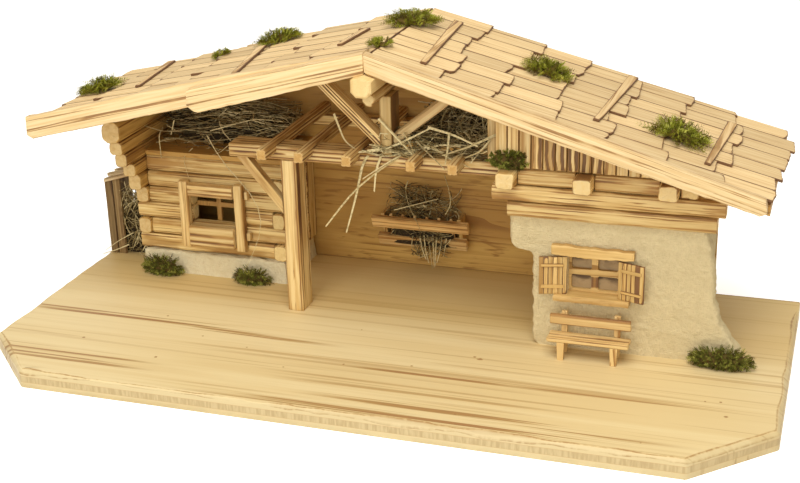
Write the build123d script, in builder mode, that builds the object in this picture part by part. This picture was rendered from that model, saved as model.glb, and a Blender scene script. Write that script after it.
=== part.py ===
from build123d import *
import os
from math import asin, atan, cos, degrees, radians, sin

# Wooden nativity stable: a log hut, an open stall and a plastered house under one shingled roof.
# Lengths are in millimetres. X runs along the front, +Y towards the back wall, +Z up.
# The origin lies under the middle of the whole stable, on the surface that it stands on.

# Base board and back wall
base_width = 750
base_depth = 342
base_thickness = 18
corner_cut = 68
base_bevel = 4
back_wall_thickness = 6

# Fits
overrun = 20
soft_gap = 0.3
timber_corner = 1.2

# Log hut on the left
hut_inset = 63
hut_width = 171
hut_depth = 90
plinth_step = 4
plinth_height = 24
plinth_radius = 9
plinth_batter = 4
log_height = 17.8
log_depth = 15
log_corner = 2.6
log_head = 2
hut_rows = 6
hut_corner_post = 21
window_rows = (2, 3)
left_wall_rows = 5
head_reach = 54
head_reach_shares = (0.28, 0.45, 0.72, 0.86, 1)
log_end_cut = 1.8
corbel_height = 15
eave_purlin_width = 21
eave_purlin_height = 23
eave_plate_height = 8
ceiling_thickness = 5

# Window of the hut
hut_window_width = 51
hut_window_side = 65
hut_post_width = 11.5
hut_post_depth = 9
hut_post_height = 73
hut_post_lift = 10
hut_lintel_height = 14
hut_lintel_depth = 10
hut_lintel_drop = 4
hut_sill_height = 23
hut_sill_depth = 13
hut_cross_bar = 5
hut_cross_depth = 4
hut_cross_recess = 11
hut_peg_length = 5
hut_peg_height = 9
hut_peg_depth = 6

# Lean-to beside the hut
lean_width = 58
lean_depth = 54
lean_plank = 4
lean_planks = 2
lean_plank_gap = 0.6
lean_front_width = 20
lean_roof_top = 101
lean_roof_fall = 19
lean_roof_reach = 61
lean_roof_thickness = 3.5
lean_roof_overhang = 4
lean_roof_boards = 3

# Stall frame
stall_height = 158.5
frame_gap = 2
frame_depth = 26
post_width = 17
post_offset = 25
tie_beam_height = 14
tie_beam_overhang = 28
joist_width = 10.5
joist_height = 11
joist_lap = 7
joist_reach = 25
left_joist_place_shares = (0.147, 0.467, 0.873)
right_joist_place_shares = (0.275, 0.711)
rear_beam_size = 13
brace_width = 10
brace_drop = 57
brace_angle = 50.5
king_post_width = 12
king_shift = 3
king_post_height = 56.5
strut_width = 10
strut_depth = 14
strut_rise = 4
strut_reach_share = 0.7
strut_groove = 1.4
groove_depth = 0.9
strut_groove_shares = (0.28, 0.5, 0.72)
pole_diameter = 14
pole_rise = 12
pole_reach_share = 0.763
under_purlin_size = 13
under_purlin_corner = 4
ridge_purlin_width = 20
ridge_purlin_height = 23
ridge_purlin_reach = 11
ridge_purlin_corner = 5
gable_post_width = 12
gable_post_share = 0.86

# Plastered house on the right
house_inset = 77
house_width = 161
house_depth = 162
plaster_thickness = 14
plaster_round = 4
wall_top_inset = 2
belly_reach = 7
belly_height = 75
knee_reach = 33
knee_height = 15
foot_reach = 36
side_wall_inset = 8
lip_reach = 22
lip_height = 24
lip_curve = 18
house_log_height = 15.5
lower_beam_step = 6
lower_beam_overhang = 6
lower_beam_corner = 2.4
middle_beam_step = 8
middle_beam_left = 36
middle_beam_overhang = 13
beam_back = 10
top_log_height = 16
house_joist_width = 18
house_joist_reach = 20
house_joist_corner = 2.5
house_joist_place_shares = (-0.13, 0.307, 0.776)
right_plate_height = 13
gable_setback = 4
gable_board_thickness = 6
gable_board_width = 11
gable_board_gap = 0.8
gable_least = 4

# Window of the house
window_place = 58
window_drop = 34
window_width = 48
window_height = 38.5
sash_thickness = 4
pane_backing = 1
sash_rim = 2.2
sash_bar = 5.8
sash_corner = 2
lintel_overhang = 14
lintel_height = 11.5
lintel_thickness = 6
lintel_sag = 1.2
sill_overhang = 11
sill_height = 4.3
sill_depth = 11
sill_chip = 1.8

# Shutters
pin_inset = 1
pin_radius = 0.5
pin_play = 0.05
pin_depth = 3
pin_stand_off = 2.5
leaf_thickness = 2.5
leaf_gap = 0.4
leaf_clearance = 0.6
leaf_slats = 5
slat_groove = 0.5
leaf_batten_thickness = 1.2
leaf_batten_height = 3.4
leaf_batten_margin = 6.5
leaf_batten_inset = 2.2
left_open_angle = 166
right_open_angle = 162

# Bench
bench_place = 59
bench_length = 75
bench_gap = 7
bench_post_thickness = 4
bench_post_width = 5.5
bench_post_height = 41.5
bench_leg_inset = 13
bench_leg_width = 7
bench_leg_foot = 5.5
bench_leg_depth = 5
bench_seat_height = 17.5
bench_slat_thickness = 4
bench_slat_width = 8.5
bench_slat_gap = 1
bench_back_height = 10
bench_back_drop = 2

# Hayrack
rack_left_shift = 13
rack_length = 106
rack_bracket_gap = 84
rack_bracket_width = 4
rack_lift = 27
rack_height = 36
rack_foot = 8
rack_lean = 14
rack_slat_height = 13
rack_slat_thickness = 7
rack_slat_margin = 1
rack_lower_short = 8
rack_rungs = 6
rack_rung_width = 4
rack_rung_depth = 3
rack_hay_rise = 36

# Roof
ridge_shift = 9
deck_thickness = 9
roof_reach = 25
roof_back_overhang = 14
shingle_overhang = 2
right_eave_inset = 26
left_eave_inset = 12
barge_thickness = 9
barge_height = 19.5
barge_drop = 3.5
barge_gap = 0.4
barge_groove = 1.5
barge_groove_shares = (0.36, 0.68)
barge_end_cut = 5
right_barge_short = 2
right_barge_taper = 3
inner_barge_length = 178
inner_barge_spread = 5
inner_end_cut = 9
outer_barge_rise = 4.5
outer_barge_start = 158
outer_barge_reach = 8
shingle_thickness = 2.4
shingle_courses = 7
shingle_lap_length = 15
shingle_eave_reach = 6
shingle_side_gap = 0.6
shingle_stagger = 7
shingle_notch = 2.4
strip_width_shares = ((0.13, 0.15, 0.14, 0.16, 0.13, 0.15, 0.14), (0.09, 0.15, 0.14, 0.15, 0.15, 0.14, 0.13, 0.05))
stagger_shares = (0.2, -0.8, 0.5, 0.9, -0.3, -1, 0.6, -0.1, 0.8, -0.6, 0.1)
skew_shares = (0.3, -0.2, 0.5, -0.6, 0.1, 0.4, -0.4)
batten_thickness = 2.6
batten_wide = 10
batten_narrow = 6
right_batten_courses = (0, 3, 5)
right_batten_place_shares = (0.54, 0.65, 0.65)
right_batten_skew_shares = (-0.26, 0.1, 0.12)
right_batten_start_shares = (0.11, 0.18, 0.14)
right_batten_end_shares = (0.865, 0.96, 0.79)
left_batten_courses = (0, 2, 5)
left_batten_place_shares = (0.66, 0.55, 0.26)
left_batten_skew_shares = (-0.12, 0.5, 0.4)
left_batten_start_shares = (0.3, 0.09, 0.36)
left_batten_end_shares = (0.62, 0.75, 0.96)

# Moss and hay
tuft_outline_shares = ((1, 0.1), (0.6, 0.8), (-0.1, 1), (-0.8, 0.6), (-1, -0.2), (-0.5, -0.9), (0.2, -1), (0.8, -0.6))
tuft_slope_share = 0.5
roof_tuft_length = 20
roof_tuft_width = 13
roof_tuft_height = 11
right_tuft_course_shares = (0.39, 0.765)
right_tuft_depth_shares = (0.575, 0.355)
right_tuft_size_shares = (1.05, 1.2)
left_tuft_course_shares = (0.47, 0.64, 0.97)
left_tuft_depth_shares = (0.88, 0.78, 0.5)
left_tuft_size_shares = (1.05, 0.45, 1.1)
ridge_tuft_depth_shares = (0.19, 0.65)
ridge_tuft_size_shares = (0.5, 1.1)
ground_tuft_length = 23
ground_tuft_width = 9
ground_tuft_height = 17
ground_tuft_gap = 5
hut_tuft_place_shares = (0.17, 0.78)
hut_tuft_size_shares = (1, 0.85)
house_tuft_place = 17
house_tuft_size_share = 1.3
beam_tuft_length = 19
beam_tuft_width = 6.5
beam_tuft_height = 15
hay_slope_share = 0.72
hut_hay_margin = 6
hut_hay_height = 44
loft_hay_left_gap = 8
loft_hay_share = 0.84
loft_hay_depth = 90
loft_hay_height = 36
loft_hay_back = 1
lean_hay_margin = 1
lean_hay_height = 74

# Places that several pieces share
overall_depth = base_depth + back_wall_thickness + roof_back_overhang
front_y = -overall_depth / 2
back_y = front_y + base_depth
left_x = -base_width / 2
right_x = base_width / 2
floor_z = base_thickness
ridge_x = -ridge_shift

hut_left = left_x + hut_inset
hut_right = hut_left + hut_width
plinth_front = back_y - hut_depth
hut_front = plinth_front + plinth_step
hut_back = hut_front + log_depth
plinth_top = floor_z + plinth_height
hut_top = plinth_top + hut_rows * log_height
head_bottom = plinth_top + left_wall_rows * log_height
corbel_count = len(head_reach_shares) - 2
corbel_top = head_bottom + corbel_count * corbel_height
eave_plate_bottom = corbel_top + eave_purlin_height
eave_left = hut_left - (eave_purlin_width - log_depth) / 2

post_left = hut_right + post_offset
post_right = post_left + post_width
post_top = floor_z + stall_height
beam_top = post_top + tie_beam_height
joist_bottom = beam_top - joist_lap
joist_top = joist_bottom + joist_height
king_top = beam_top + king_post_height
under_purlin_top = king_top + under_purlin_size
ridge_z = under_purlin_top + ridge_purlin_height

house_right = right_x - house_inset
house_left = house_right - house_width
house_front = back_y - house_depth
house_back = house_front + plaster_thickness
house_top = post_top - 2 * house_log_height
middle_beam_bottom = house_top + house_log_height
top_log_top = post_top + top_log_height
beams_back = house_front + beam_back
bay_width = house_left - hut_right
frame_front = beams_back + frame_gap
frame_back = frame_front + frame_depth

# Roof planes: the undersides of the two decks, carried by the ridge purlin and by the plates at the eaves
left_slope = (ridge_z - eave_plate_bottom - eave_plate_height) / (ridge_x - eave_left)
right_slope = (ridge_z - post_top - right_plate_height) / (house_right - ridge_x)
left_angle = atan(left_slope)
right_angle = atan(right_slope)
right_eave = right_x - right_eave_inset
left_eave = left_x + left_eave_inset
right_deck_front = house_front - roof_reach
left_deck_front = right_deck_front + barge_thickness
shingle_back = -front_y
deck_back = shingle_back - shingle_overhang


def roof_z(x):
    """Height of the decks' underside over a place along the front."""
    if x > ridge_x:
        return ridge_z - right_slope * (x - ridge_x)
    return ridge_z - left_slope * (ridge_x - x)


def meet_roof(x, z, angle):
    """Point where a line that leaves (x, z) at an angle in the frame's plane meets the decks' underside."""
    run = cos(radians(angle))
    rise = sin(radians(angle))
    slope = right_slope if run > 0 else -left_slope
    reach = (ridge_z - slope * (x - ridge_x) - z) / (rise + slope * run)
    return (x + reach * run, z + reach * rise)


def section(a0, a1, b0, b1, corner):
    """Outline of a timber from a0 to a1 and b0 to b1, with its four corners cut off."""
    return [
        (a0 + corner, b0),
        (a1 - corner, b0),
        (a1, b0 + corner),
        (a1, b1 - corner),
        (a1 - corner, b1),
        (a0 + corner, b1),
        (a0, b1 - corner),
        (a0, b0 + corner),
    ]


def prism_x(outline, x0, x1):
    """Solid with an outline in Y and Z, from x0 to x1."""
    with BuildPart() as prism:
        with BuildSketch(Plane.YZ.offset(x0)):
            Polygon(*outline, align=None)
        extrude(amount=x1 - x0)
    return prism.part


def prism_y(outline, y0, y1, end_cut=0):
    """Solid with an outline in X and Z, from y0 to y1, its front end bevelled by the end cut."""
    with BuildPart() as prism:
        with BuildSketch(Plane.XZ.offset(-y1)):
            Polygon(*outline, align=None)
        extrude(amount=y1 - y0)
        if end_cut > 0:
            chamfer(prism.faces().sort_by(Axis.Y)[0].edges(), length=end_cut)
    return prism.part


def prism_z(outline, z0, z1):
    """Solid with an outline in X and Y, from z0 to z1."""
    with BuildPart() as prism:
        with BuildSketch(Plane.XY.offset(z0)):
            Polygon(*outline, align=None)
        extrude(amount=z1 - z0)
    return prism.part


def log_x(x0, x1, y0, y1, z0, z1, corner=log_corner):
    """Hewn log lying along the front."""
    return prism_x(section(y0, y1, z0, z1, corner), x0, x1)


def log_y(x0, x1, y0, y1, z0, z1, corner=log_corner, end_cut=0):
    """Hewn log running from front to back."""
    return prism_y(section(x0, x1, z0, z1, corner), y0, y1, end_cut)


def log_z(x0, x1, y0, y1, z0, z1, corner=timber_corner):
    """Upright timber."""
    return prism_z(section(x0, x1, y0, y1, corner), z0, z1)


def board(x0, x1, y0, y1, z0, z1):
    """Sawn board with square edges."""
    return prism_z([(x0, y0), (x1, y0), (x1, y1), (x0, y1)], z0, z1)


def heap(plane, length, width, height):
    """Plain closed solid for a tuft of moss, bevelled all round its top."""
    foot = [(u * length, v * width) for u, v in tuft_outline_shares]
    with BuildPart() as tuft:
        with BuildSketch(plane):
            Polygon(*foot, align=None)
        extrude(amount=height)
        top = tuft.faces().filter_by(plane).sort_by(Axis.Z)[-1]
        chamfer(top.edges(), length=tuft_slope_share * min(width, height))
    return tuft.part


def save(name, *solids):
    """Name a node, one solid or a group of separate solids, and write it."""
    node = solids[0] if len(solids) == 1 else Compound(children=list(solids))
    node.label = name
    export_step(node, f"parts/{name}.step")


os.makedirs("parts", exist_ok=True)

# Base board: one panel with both front corners sawn off and a gouged bevel round its top edge
base_outline = [
    (left_x + corner_cut, front_y),
    (right_x - corner_cut, front_y),
    (right_x, front_y + corner_cut),
    (right_x, back_y),
    (left_x, back_y),
    (left_x, front_y + corner_cut),
]
with BuildPart() as base_board:
    with BuildSketch(Plane.XY):
        Polygon(*base_outline, align=None)
    extrude(amount=base_thickness)
    top_edges = base_board.faces().sort_by(Axis.Z)[-1].edges().sort_by(Axis.Y)
    chamfer(top_edges[:-1], length=base_bevel)
save("base_board", base_board.part)

# Back wall: gable-shaped panel nailed on the rear edge of the base
back_wall_end = house_right - side_wall_inset
back_outline = [
    (hut_left, 0),
    (back_wall_end, 0),
    (back_wall_end, roof_z(back_wall_end)),
    (ridge_x, ridge_z),
    (hut_left, roof_z(hut_left)),
]
save("back_wall", prism_y(back_outline, back_y, back_y + back_wall_thickness))

# Hut plinth: rough plaster block with rounded corners that draws in a little upwards
plinth_depth = back_y - plinth_front
with BuildPart() as hut_plinth:
    with BuildSketch(Plane.XY.offset(floor_z)) as plinth_foot:
        with Locations(((hut_left + hut_right) / 2, (plinth_front + back_y) / 2)):
            Rectangle(hut_width, plinth_depth)
        fillet(plinth_foot.vertices().group_by(Axis.Y)[0], plinth_radius)
    with BuildSketch(Plane.XY.offset(plinth_top)) as plinth_head:
        with Locations(((hut_left + hut_right) / 2, (plinth_front + plinth_batter + back_y) / 2)):
            Rectangle(hut_width - 2 * plinth_batter, plinth_depth - plinth_batter)
        fillet(plinth_head.vertices().group_by(Axis.Y)[0], plinth_radius)
    loft()
save("hut_plinth", hut_plinth.part)

# Hut log walls: in each row either the front log or the side log runs through the corner.
# The logs of the right wall end at an upright corner post on the back wall.
window_left = hut_left + hut_window_side
window_right = window_left + hut_window_width
corner_front = back_y - hut_corner_post
front_logs = []
left_logs = []
right_logs = []
for row in range(hut_rows):
    low = plinth_top + row * log_height
    high = low + log_height
    below_heads = row < left_wall_rows - 1
    front_through_left = row % 2 == 0 and below_heads
    front_through_right = row % 2 == 1
    x_start = hut_left if front_through_left else hut_left + log_depth
    x_end = hut_right if front_through_right else hut_right - log_depth
    if row in window_rows:
        front_logs.append(log_x(x_start, window_left, hut_front, hut_back, low, high))
        front_logs.append(log_x(window_right, x_end, hut_front, hut_back, low, high))
    else:
        front_logs.append(log_x(x_start, x_end, hut_front, hut_back, low, high))
    right_start = hut_back if front_through_right else hut_front - log_head
    right_logs.append(log_y(hut_right - log_depth, hut_right, right_start, corner_front, low, high))
    if below_heads:
        left_start = hut_back if front_through_left else hut_front - log_head
        left_logs.append(log_y(hut_left, hut_left + log_depth, left_start, back_y, low, high))
head_low = head_bottom - log_height
head_start = hut_front - head_reach_shares[0] * head_reach
left_logs.append(
    log_y(hut_left, hut_left + log_depth, head_start, back_y, head_low, head_bottom, end_cut=log_end_cut)
)
for step in range(corbel_count):
    low = head_bottom + step * corbel_height
    head_start = hut_front - head_reach_shares[step + 1] * head_reach
    high = low + corbel_height
    left_logs.append(
        log_y(hut_left, hut_left + log_depth, head_start, back_y, low, high, end_cut=log_end_cut)
    )
corner_post = log_z(hut_right - log_depth, hut_right, corner_front, back_y, plinth_top, hut_top)
save("hut_front_logs", *front_logs)
save("hut_right_logs", *right_logs, corner_post)
save("hut_left_logs", *left_logs)

# Eave purlin and plate: the stepped log heads carry them, and they carry the left deck
eave_right = eave_left + eave_purlin_width
purlin_start = hut_front - head_reach
eave_purlin = log_y(
    eave_left, eave_right, purlin_start, back_y, corbel_top, eave_plate_bottom, ridge_purlin_corner, log_end_cut
)
plate_outline = [
    (eave_left, eave_plate_bottom),
    (eave_right, eave_plate_bottom),
    (eave_right, roof_z(eave_right)),
    (eave_left, roof_z(eave_left)),
]
save("eave_purlin", eave_purlin, prism_y(plate_outline, purlin_start, back_y))

# Hut ceiling: a board on the log walls that carries the hay
ceiling_top = hut_top + ceiling_thickness
ceiling_left = hut_left + log_depth
save("hut_ceiling", board(ceiling_left, hut_right, hut_front, back_y, hut_top, ceiling_top))

# Hut window: two posts, lintel and sill on the face of the logs, a cross in the opening, two wedge pegs
sill_top = plinth_top + window_rows[0] * log_height
opening_top = sill_top + len(window_rows) * log_height
post_low = plinth_top + hut_post_lift
post_high = post_low + hut_post_height
hut_post_front = hut_front - hut_post_depth
left_window_post = log_z(window_left - hut_post_width, window_left, hut_post_front, hut_front, post_low, post_high)
right_window_post = log_z(
    window_right, window_right + hut_post_width, hut_post_front, hut_front, post_low, post_high
)
hut_lintel_low = opening_top - hut_lintel_drop
hut_lintel_high = hut_lintel_low + hut_lintel_height
hut_lintel_front = hut_front - hut_lintel_depth
hut_lintel = log_x(window_left, window_right, hut_lintel_front, hut_front, hut_lintel_low, hut_lintel_high, timber_corner)
hut_sill_front = hut_front - hut_sill_depth
hut_sill_low = sill_top - hut_sill_height
hut_sill = log_x(window_left, window_right, hut_sill_front, hut_front, hut_sill_low, sill_top, timber_corner)
save("hut_window_rails", hut_lintel, hut_sill)
with BuildPart() as hut_window_cross:
    with BuildSketch(Plane.XZ.offset(-(hut_front + hut_cross_recess + hut_cross_depth))):
        with Locations(((window_left + window_right) / 2, (sill_top + opening_top) / 2)):
            Rectangle(hut_window_width, hut_cross_bar)
            Rectangle(hut_cross_bar, opening_top - sill_top)
    extrude(amount=hut_cross_depth)
save("hut_window_cross", hut_window_cross.part)
peg_left = window_right + hut_post_width
peg_front = hut_front - hut_peg_depth
pegs = []
for peg_low in (hut_lintel_low, hut_sill_low + hut_peg_height):
    peg_high = peg_low + hut_peg_height
    pegs.append(log_x(peg_left, peg_left + hut_peg_length, peg_front, hut_front, peg_low, peg_high, timber_corner))
save("hut_window_posts", left_window_post, right_window_post, *pegs)

# Lean-to: planks in front and at the side, with roof boards that lean on the hut's wall
lean_left = hut_left - lean_width
lean_front = back_y - lean_depth
lean_back = lean_front + lean_plank
lean_slope = lean_roof_fall / lean_roof_reach
lean_top = floor_z + lean_roof_top


def lean_z(x):
    """Height of the underside of the lean-to's roof boards."""
    return lean_top - lean_slope * (hut_left - x)


plank_width = lean_front_width / lean_planks
front_planks = []
for plank in range(lean_planks):
    x0 = lean_left + plank * plank_width
    x1 = x0 + plank_width - lean_plank_gap
    plank_outline = [(x0, floor_z), (x1, floor_z), (x1, lean_z(x1)), (x0, lean_z(x0))]
    front_planks.append(prism_y(plank_outline, lean_front, lean_back))
side_outline = [
    (lean_left, floor_z),
    (lean_left + lean_plank, floor_z),
    (lean_left + lean_plank, lean_z(lean_left + lean_plank)),
    (lean_left, lean_z(lean_left)),
]
save("lean_to_planks", *front_planks, prism_y(side_outline, lean_back, back_y))
lean_end = hut_left - lean_roof_reach
roof_outline = [
    (lean_end, lean_z(lean_end)),
    (hut_left, lean_top),
    (hut_left, lean_top + lean_roof_thickness),
    (lean_end, lean_z(lean_end) + lean_roof_thickness),
]
lean_boards = []
lean_board_front = lean_front - lean_roof_overhang
lean_board_width = (back_y - lean_board_front) / lean_roof_boards
for strip in range(lean_roof_boards):
    y0 = lean_board_front + strip * lean_board_width
    lean_boards.append(prism_y(roof_outline, y0, y0 + lean_board_width - lean_plank_gap))
save("lean_to_roof", *lean_boards)

# Main post, its brace and the tie beam with a notch for each loft joist
save("main_post", log_z(post_left, post_right, frame_front, frame_back, floor_z, post_top))
brace_run = cos(radians(brace_angle))
brace_rise = sin(radians(brace_angle))
brace_foot = post_top - brace_drop
brace_end_low = brace_foot + brace_width / brace_run
brace_slant = brace_run / brace_rise
brace_outline = [
    (post_left, brace_foot),
    (post_left, brace_end_low),
    (post_left - (post_top - brace_end_low) * brace_slant, post_top),
    (post_left - (post_top - brace_foot) * brace_slant, post_top),
]
brace_front = frame_front + frame_gap
save("post_brace", prism_y(brace_outline, brace_front, brace_front + brace_width))
king_left = ridge_x + king_shift - king_post_width / 2
king_right = king_left + king_post_width
gable_post_middle = hut_right + gable_post_share * bay_width
gable_post_left = gable_post_middle - gable_post_width / 2
gable_post_right = gable_post_middle + gable_post_width / 2
strut_top = king_left - strut_reach_share * (king_left - post_left)
strut_low = beam_top + strut_rise
strut_angle = degrees(atan((roof_z(strut_top) - strut_low) / (king_left - strut_top)))
strut_foot = strut_width / cos(radians(strut_angle))
strut_high = strut_low + strut_foot
strut_lean = 180 - strut_angle
left_span = king_left - joist_width - hut_right
right_span = gable_post_left - king_right
joist_places = [hut_right + share * left_span for share in left_joist_place_shares]
joist_places += [king_right + share * right_span for share in right_joist_place_shares]
beam_left = hut_right - tie_beam_overhang
beam_right = house_left + plaster_thickness
with BuildPart() as tie_beam:
    with BuildSketch(Plane.YZ.offset(beam_left)):
        Polygon(*section(frame_front, frame_back, post_top, beam_top, timber_corner), align=None)
    extrude(amount=beam_right - beam_left)
    with BuildSketch(Plane.XY.offset(joist_bottom)):
        for place in joist_places:
            with Locations((place, (frame_front + frame_back) / 2)):
                Rectangle(joist_width, frame_depth + overrun)
    extrude(amount=joist_lap, mode=Mode.SUBTRACT)
save("tie_beam", tie_beam.part)

# Loft joists: let into the tie beam in front, lying on the rear beam at the back wall
joists = []
for place in joist_places:
    x0 = place - joist_width / 2
    joist_front = frame_front - joist_reach
    joists.append(log_y(x0, x0 + joist_width, joist_front, back_y, joist_bottom, joist_top, timber_corner))
save("loft_joists", *joists)
rear_beam_front = back_y - rear_beam_size
rear_beam_low = joist_bottom - rear_beam_size
rear_beam = log_x(hut_right, house_left, rear_beam_front, back_y, rear_beam_low, joist_bottom, timber_corner)
save("rear_beam", rear_beam)

# Gable frame: king post, grooved strut on the left, round pole on the right, post at the house
save("king_post", log_z(king_left, king_right, frame_front, frame_back, beam_top, king_top))
strut_outline = [
    (king_left, strut_low),
    (king_left, strut_high),
    meet_roof(king_left, strut_high, strut_lean),
    meet_roof(king_left, strut_low, strut_lean),
]
with BuildPart() as left_strut:
    with BuildSketch(Plane.XZ.offset(-(frame_front + strut_depth))):
        Polygon(*strut_outline, align=None)
    extrude(amount=strut_depth)
    with BuildSketch(Plane.XZ.offset(-(frame_front + groove_depth))):
        for share in strut_groove_shares:
            groove_low = strut_low + share * strut_foot
            groove_high = groove_low + strut_groove / cos(radians(strut_angle))
            groove_outline = [
                (king_left, groove_low),
                meet_roof(king_left, groove_low, strut_lean),
                meet_roof(king_left, groove_high, strut_lean),
                (king_left, groove_high),
            ]
            Polygon(*groove_outline, align=None)
    extrude(amount=groove_depth, mode=Mode.SUBTRACT)
save("left_strut", left_strut.part)
pole_y = frame_front + frame_gap + pole_diameter / 2
pole_low = beam_top + pole_rise
pole_top = king_right + pole_reach_share * (gable_post_left - king_right)
pole_angle = atan((roof_z(pole_top) - pole_low) / (pole_top - king_right))
pole_run = cos(pole_angle)
pole_climb = sin(pole_angle)
pole_length = (pole_top - king_right) / pole_run
pole_foot = (king_right - overrun * pole_run, pole_y, pole_low - overrun * pole_climb)
roof_underside = Plane(
    origin=(ridge_x, pole_y, ridge_z),
    x_dir=(cos(right_angle), 0, -sin(right_angle)),
    z_dir=(sin(right_angle), 0, cos(right_angle)),
)
with BuildPart() as right_strut:
    with BuildSketch(Plane(origin=pole_foot, x_dir=(0, 1, 0), z_dir=(pole_run, 0, pole_climb))):
        Circle(pole_diameter / 2)
    extrude(amount=pole_length + 2 * overrun)
    split(bisect_by=Plane.YZ.offset(king_right), keep=Keep.TOP)
    split(bisect_by=roof_underside, keep=Keep.BOTTOM)
save("right_strut", right_strut.part)
gable_post_outline = [
    (gable_post_left, beam_top),
    (gable_post_right, beam_top),
    (gable_post_right, roof_z(gable_post_right)),
    (gable_post_left, roof_z(gable_post_left)),
]
save("gable_post", prism_y(gable_post_outline, frame_front, frame_back))

# Ridge purlin: hewn log whose top fits the two decks and whose head is notched under the bargeboards
half_ridge = ridge_purlin_width / 2
ridge_outline = [
    (ridge_x, ridge_z),
    (ridge_x + half_ridge, roof_z(ridge_x + half_ridge)),
    (ridge_x + half_ridge, under_purlin_top + ridge_purlin_corner),
    (ridge_x + half_ridge - ridge_purlin_corner, under_purlin_top),
    (ridge_x - half_ridge + ridge_purlin_corner, under_purlin_top),
    (ridge_x - half_ridge, under_purlin_top + ridge_purlin_corner),
    (ridge_x - half_ridge, roof_z(ridge_x - half_ridge)),
]
notch_drop = barge_drop + barge_gap
notch_outline = [
    (ridge_x, ridge_z - notch_drop),
    (ridge_x + ridge_purlin_width, roof_z(ridge_x + ridge_purlin_width) - notch_drop),
    (ridge_x + ridge_purlin_width, ridge_z + overrun),
    (ridge_x - ridge_purlin_width, ridge_z + overrun),
    (ridge_x - ridge_purlin_width, roof_z(ridge_x - ridge_purlin_width) - notch_drop),
]
barge_front = right_deck_front - barge_thickness
ridge_front = barge_front - ridge_purlin_reach
with BuildPart() as ridge_purlin:
    with BuildSketch(Plane.XZ.offset(-back_y)):
        Polygon(*ridge_outline, align=None)
    extrude(amount=back_y - ridge_front)
    chamfer(ridge_purlin.faces().sort_by(Axis.Y)[0].edges(), length=log_end_cut)
    with BuildSketch(Plane.XZ.offset(-left_deck_front)):
        Polygon(*notch_outline, align=None)
    extrude(amount=left_deck_front - ridge_front + overrun, mode=Mode.SUBTRACT)
save("ridge_purlin", ridge_purlin.part)
under_left = ridge_x - under_purlin_size / 2
under_purlin = log_y(
    under_left,
    under_left + under_purlin_size,
    right_deck_front,
    back_y,
    king_top,
    under_purlin_top,
    under_purlin_corner,
    log_end_cut,
)
save("under_purlin", under_purlin)

# House walls: plaster, the front one with a corbelled lip on the left and a flared foot on the right
wall_top_end = (house_right - wall_top_inset, house_top)
belly = (house_right + belly_reach, floor_z + belly_height)
knee = (house_right + knee_reach, floor_z + knee_height)
foot_end = (house_right + foot_reach, floor_z)
house_window_left = house_left + window_place - window_width / 2
house_window_high = house_top - window_drop
house_window_low = house_window_high - window_height
window_middle = (house_left + window_place, (house_window_low + house_window_high) / 2)
sill_low = house_window_low - sill_height
lip_low = house_top - lip_height
lip_middle = (house_left - lip_reach / 2, lip_low - lip_curve / 2)
with BuildPart() as house_front_wall:
    with BuildSketch(Plane.XZ.offset(-house_back)):
        with BuildLine():
            Line((house_left - lip_reach, house_top), wall_top_end)
            TangentArc(belly, wall_top_end, tangent=(0, 1))
            TangentArc(belly, knee, tangent=(0, -1))
            Line(knee, foot_end)
            Line(foot_end, (house_left + plaster_round, floor_z))
            Line((house_left + plaster_round, floor_z), (house_left, floor_z + plaster_round))
            Line((house_left, floor_z + plaster_round), (house_left, lip_low - lip_curve))
            TangentArc((house_left, lip_low - lip_curve), lip_middle, tangent=(0, 1))
            TangentArc((house_left - lip_reach, lip_low), lip_middle, tangent=(0, -1))
            Line((house_left - lip_reach, lip_low), (house_left - lip_reach, house_top))
        make_face()
        with Locations((window_middle[0], (sill_low + house_window_high) / 2)):
            Rectangle(window_width, window_height + sill_height, mode=Mode.SUBTRACT)
    extrude(amount=plaster_thickness)
    front_face = house_front_wall.faces().sort_by(Axis.Y)[0]
    side_edges = front_face.outer_wire().edges().filter_by(Axis.X, reverse=True)
    chamfer(side_edges, length=plaster_round)
save("house_front_wall", house_front_wall.part)
left_wall_end = house_left + plaster_thickness
save("house_left_wall", board(house_left, left_wall_end, house_back, back_y, floor_z, house_top))
right_wall_end = house_right - side_wall_inset
right_wall_start = right_wall_end - plaster_thickness
save("house_right_wall", board(right_wall_start, right_wall_end, house_back, back_y, floor_z, house_top))

# House beams: two long logs on the front wall, short logs between the joists, logs on both side walls
lower_beam_left = house_left - lip_reach
lower_beam_right = house_right + lower_beam_overhang
lower_front = house_front - lower_beam_step
lower_beam = log_x(
    lower_beam_left, lower_beam_right, lower_front, beams_back, house_top, middle_beam_bottom, lower_beam_corner
)
middle_left = house_left - middle_beam_left
middle_right = house_right + middle_beam_overhang
middle_front = house_front - middle_beam_step
middle_beam = log_x(middle_left, middle_right, middle_front, beams_back, middle_beam_bottom, post_top, lower_beam_corner)
save("house_front_beams", lower_beam, middle_beam)
joist_centres = [house_left + share * house_width for share in house_joist_place_shares]
house_joist_front = house_front - house_joist_reach
house_joists = []
for number, centre in enumerate(joist_centres):
    joist_back = frame_front if number == 0 else back_y
    x0 = centre - house_joist_width / 2
    house_joists.append(
        log_y(
            x0,
            x0 + house_joist_width,
            house_joist_front,
            joist_back,
            post_top,
            top_log_top,
            house_joist_corner,
            log_end_cut,
        )
    )
save("house_joists", *house_joists)
top_log_end = ridge_x + (ridge_z - top_log_top - barge_gap) / right_slope
top_log_ends = [centre - house_joist_width / 2 for centre in joist_centres[1:]] + [top_log_end]
top_logs = []
for centre, x1 in zip(joist_centres, top_log_ends):
    x0 = centre + house_joist_width / 2
    top_logs.append(log_x(x0, x1, lower_front, beams_back, post_top, top_log_top, lower_beam_corner))
save("house_top_logs", *top_logs)
side_rows = ((house_top, middle_beam_bottom), (middle_beam_bottom, post_top))
house_left_logs = []
house_right_logs = []
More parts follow.
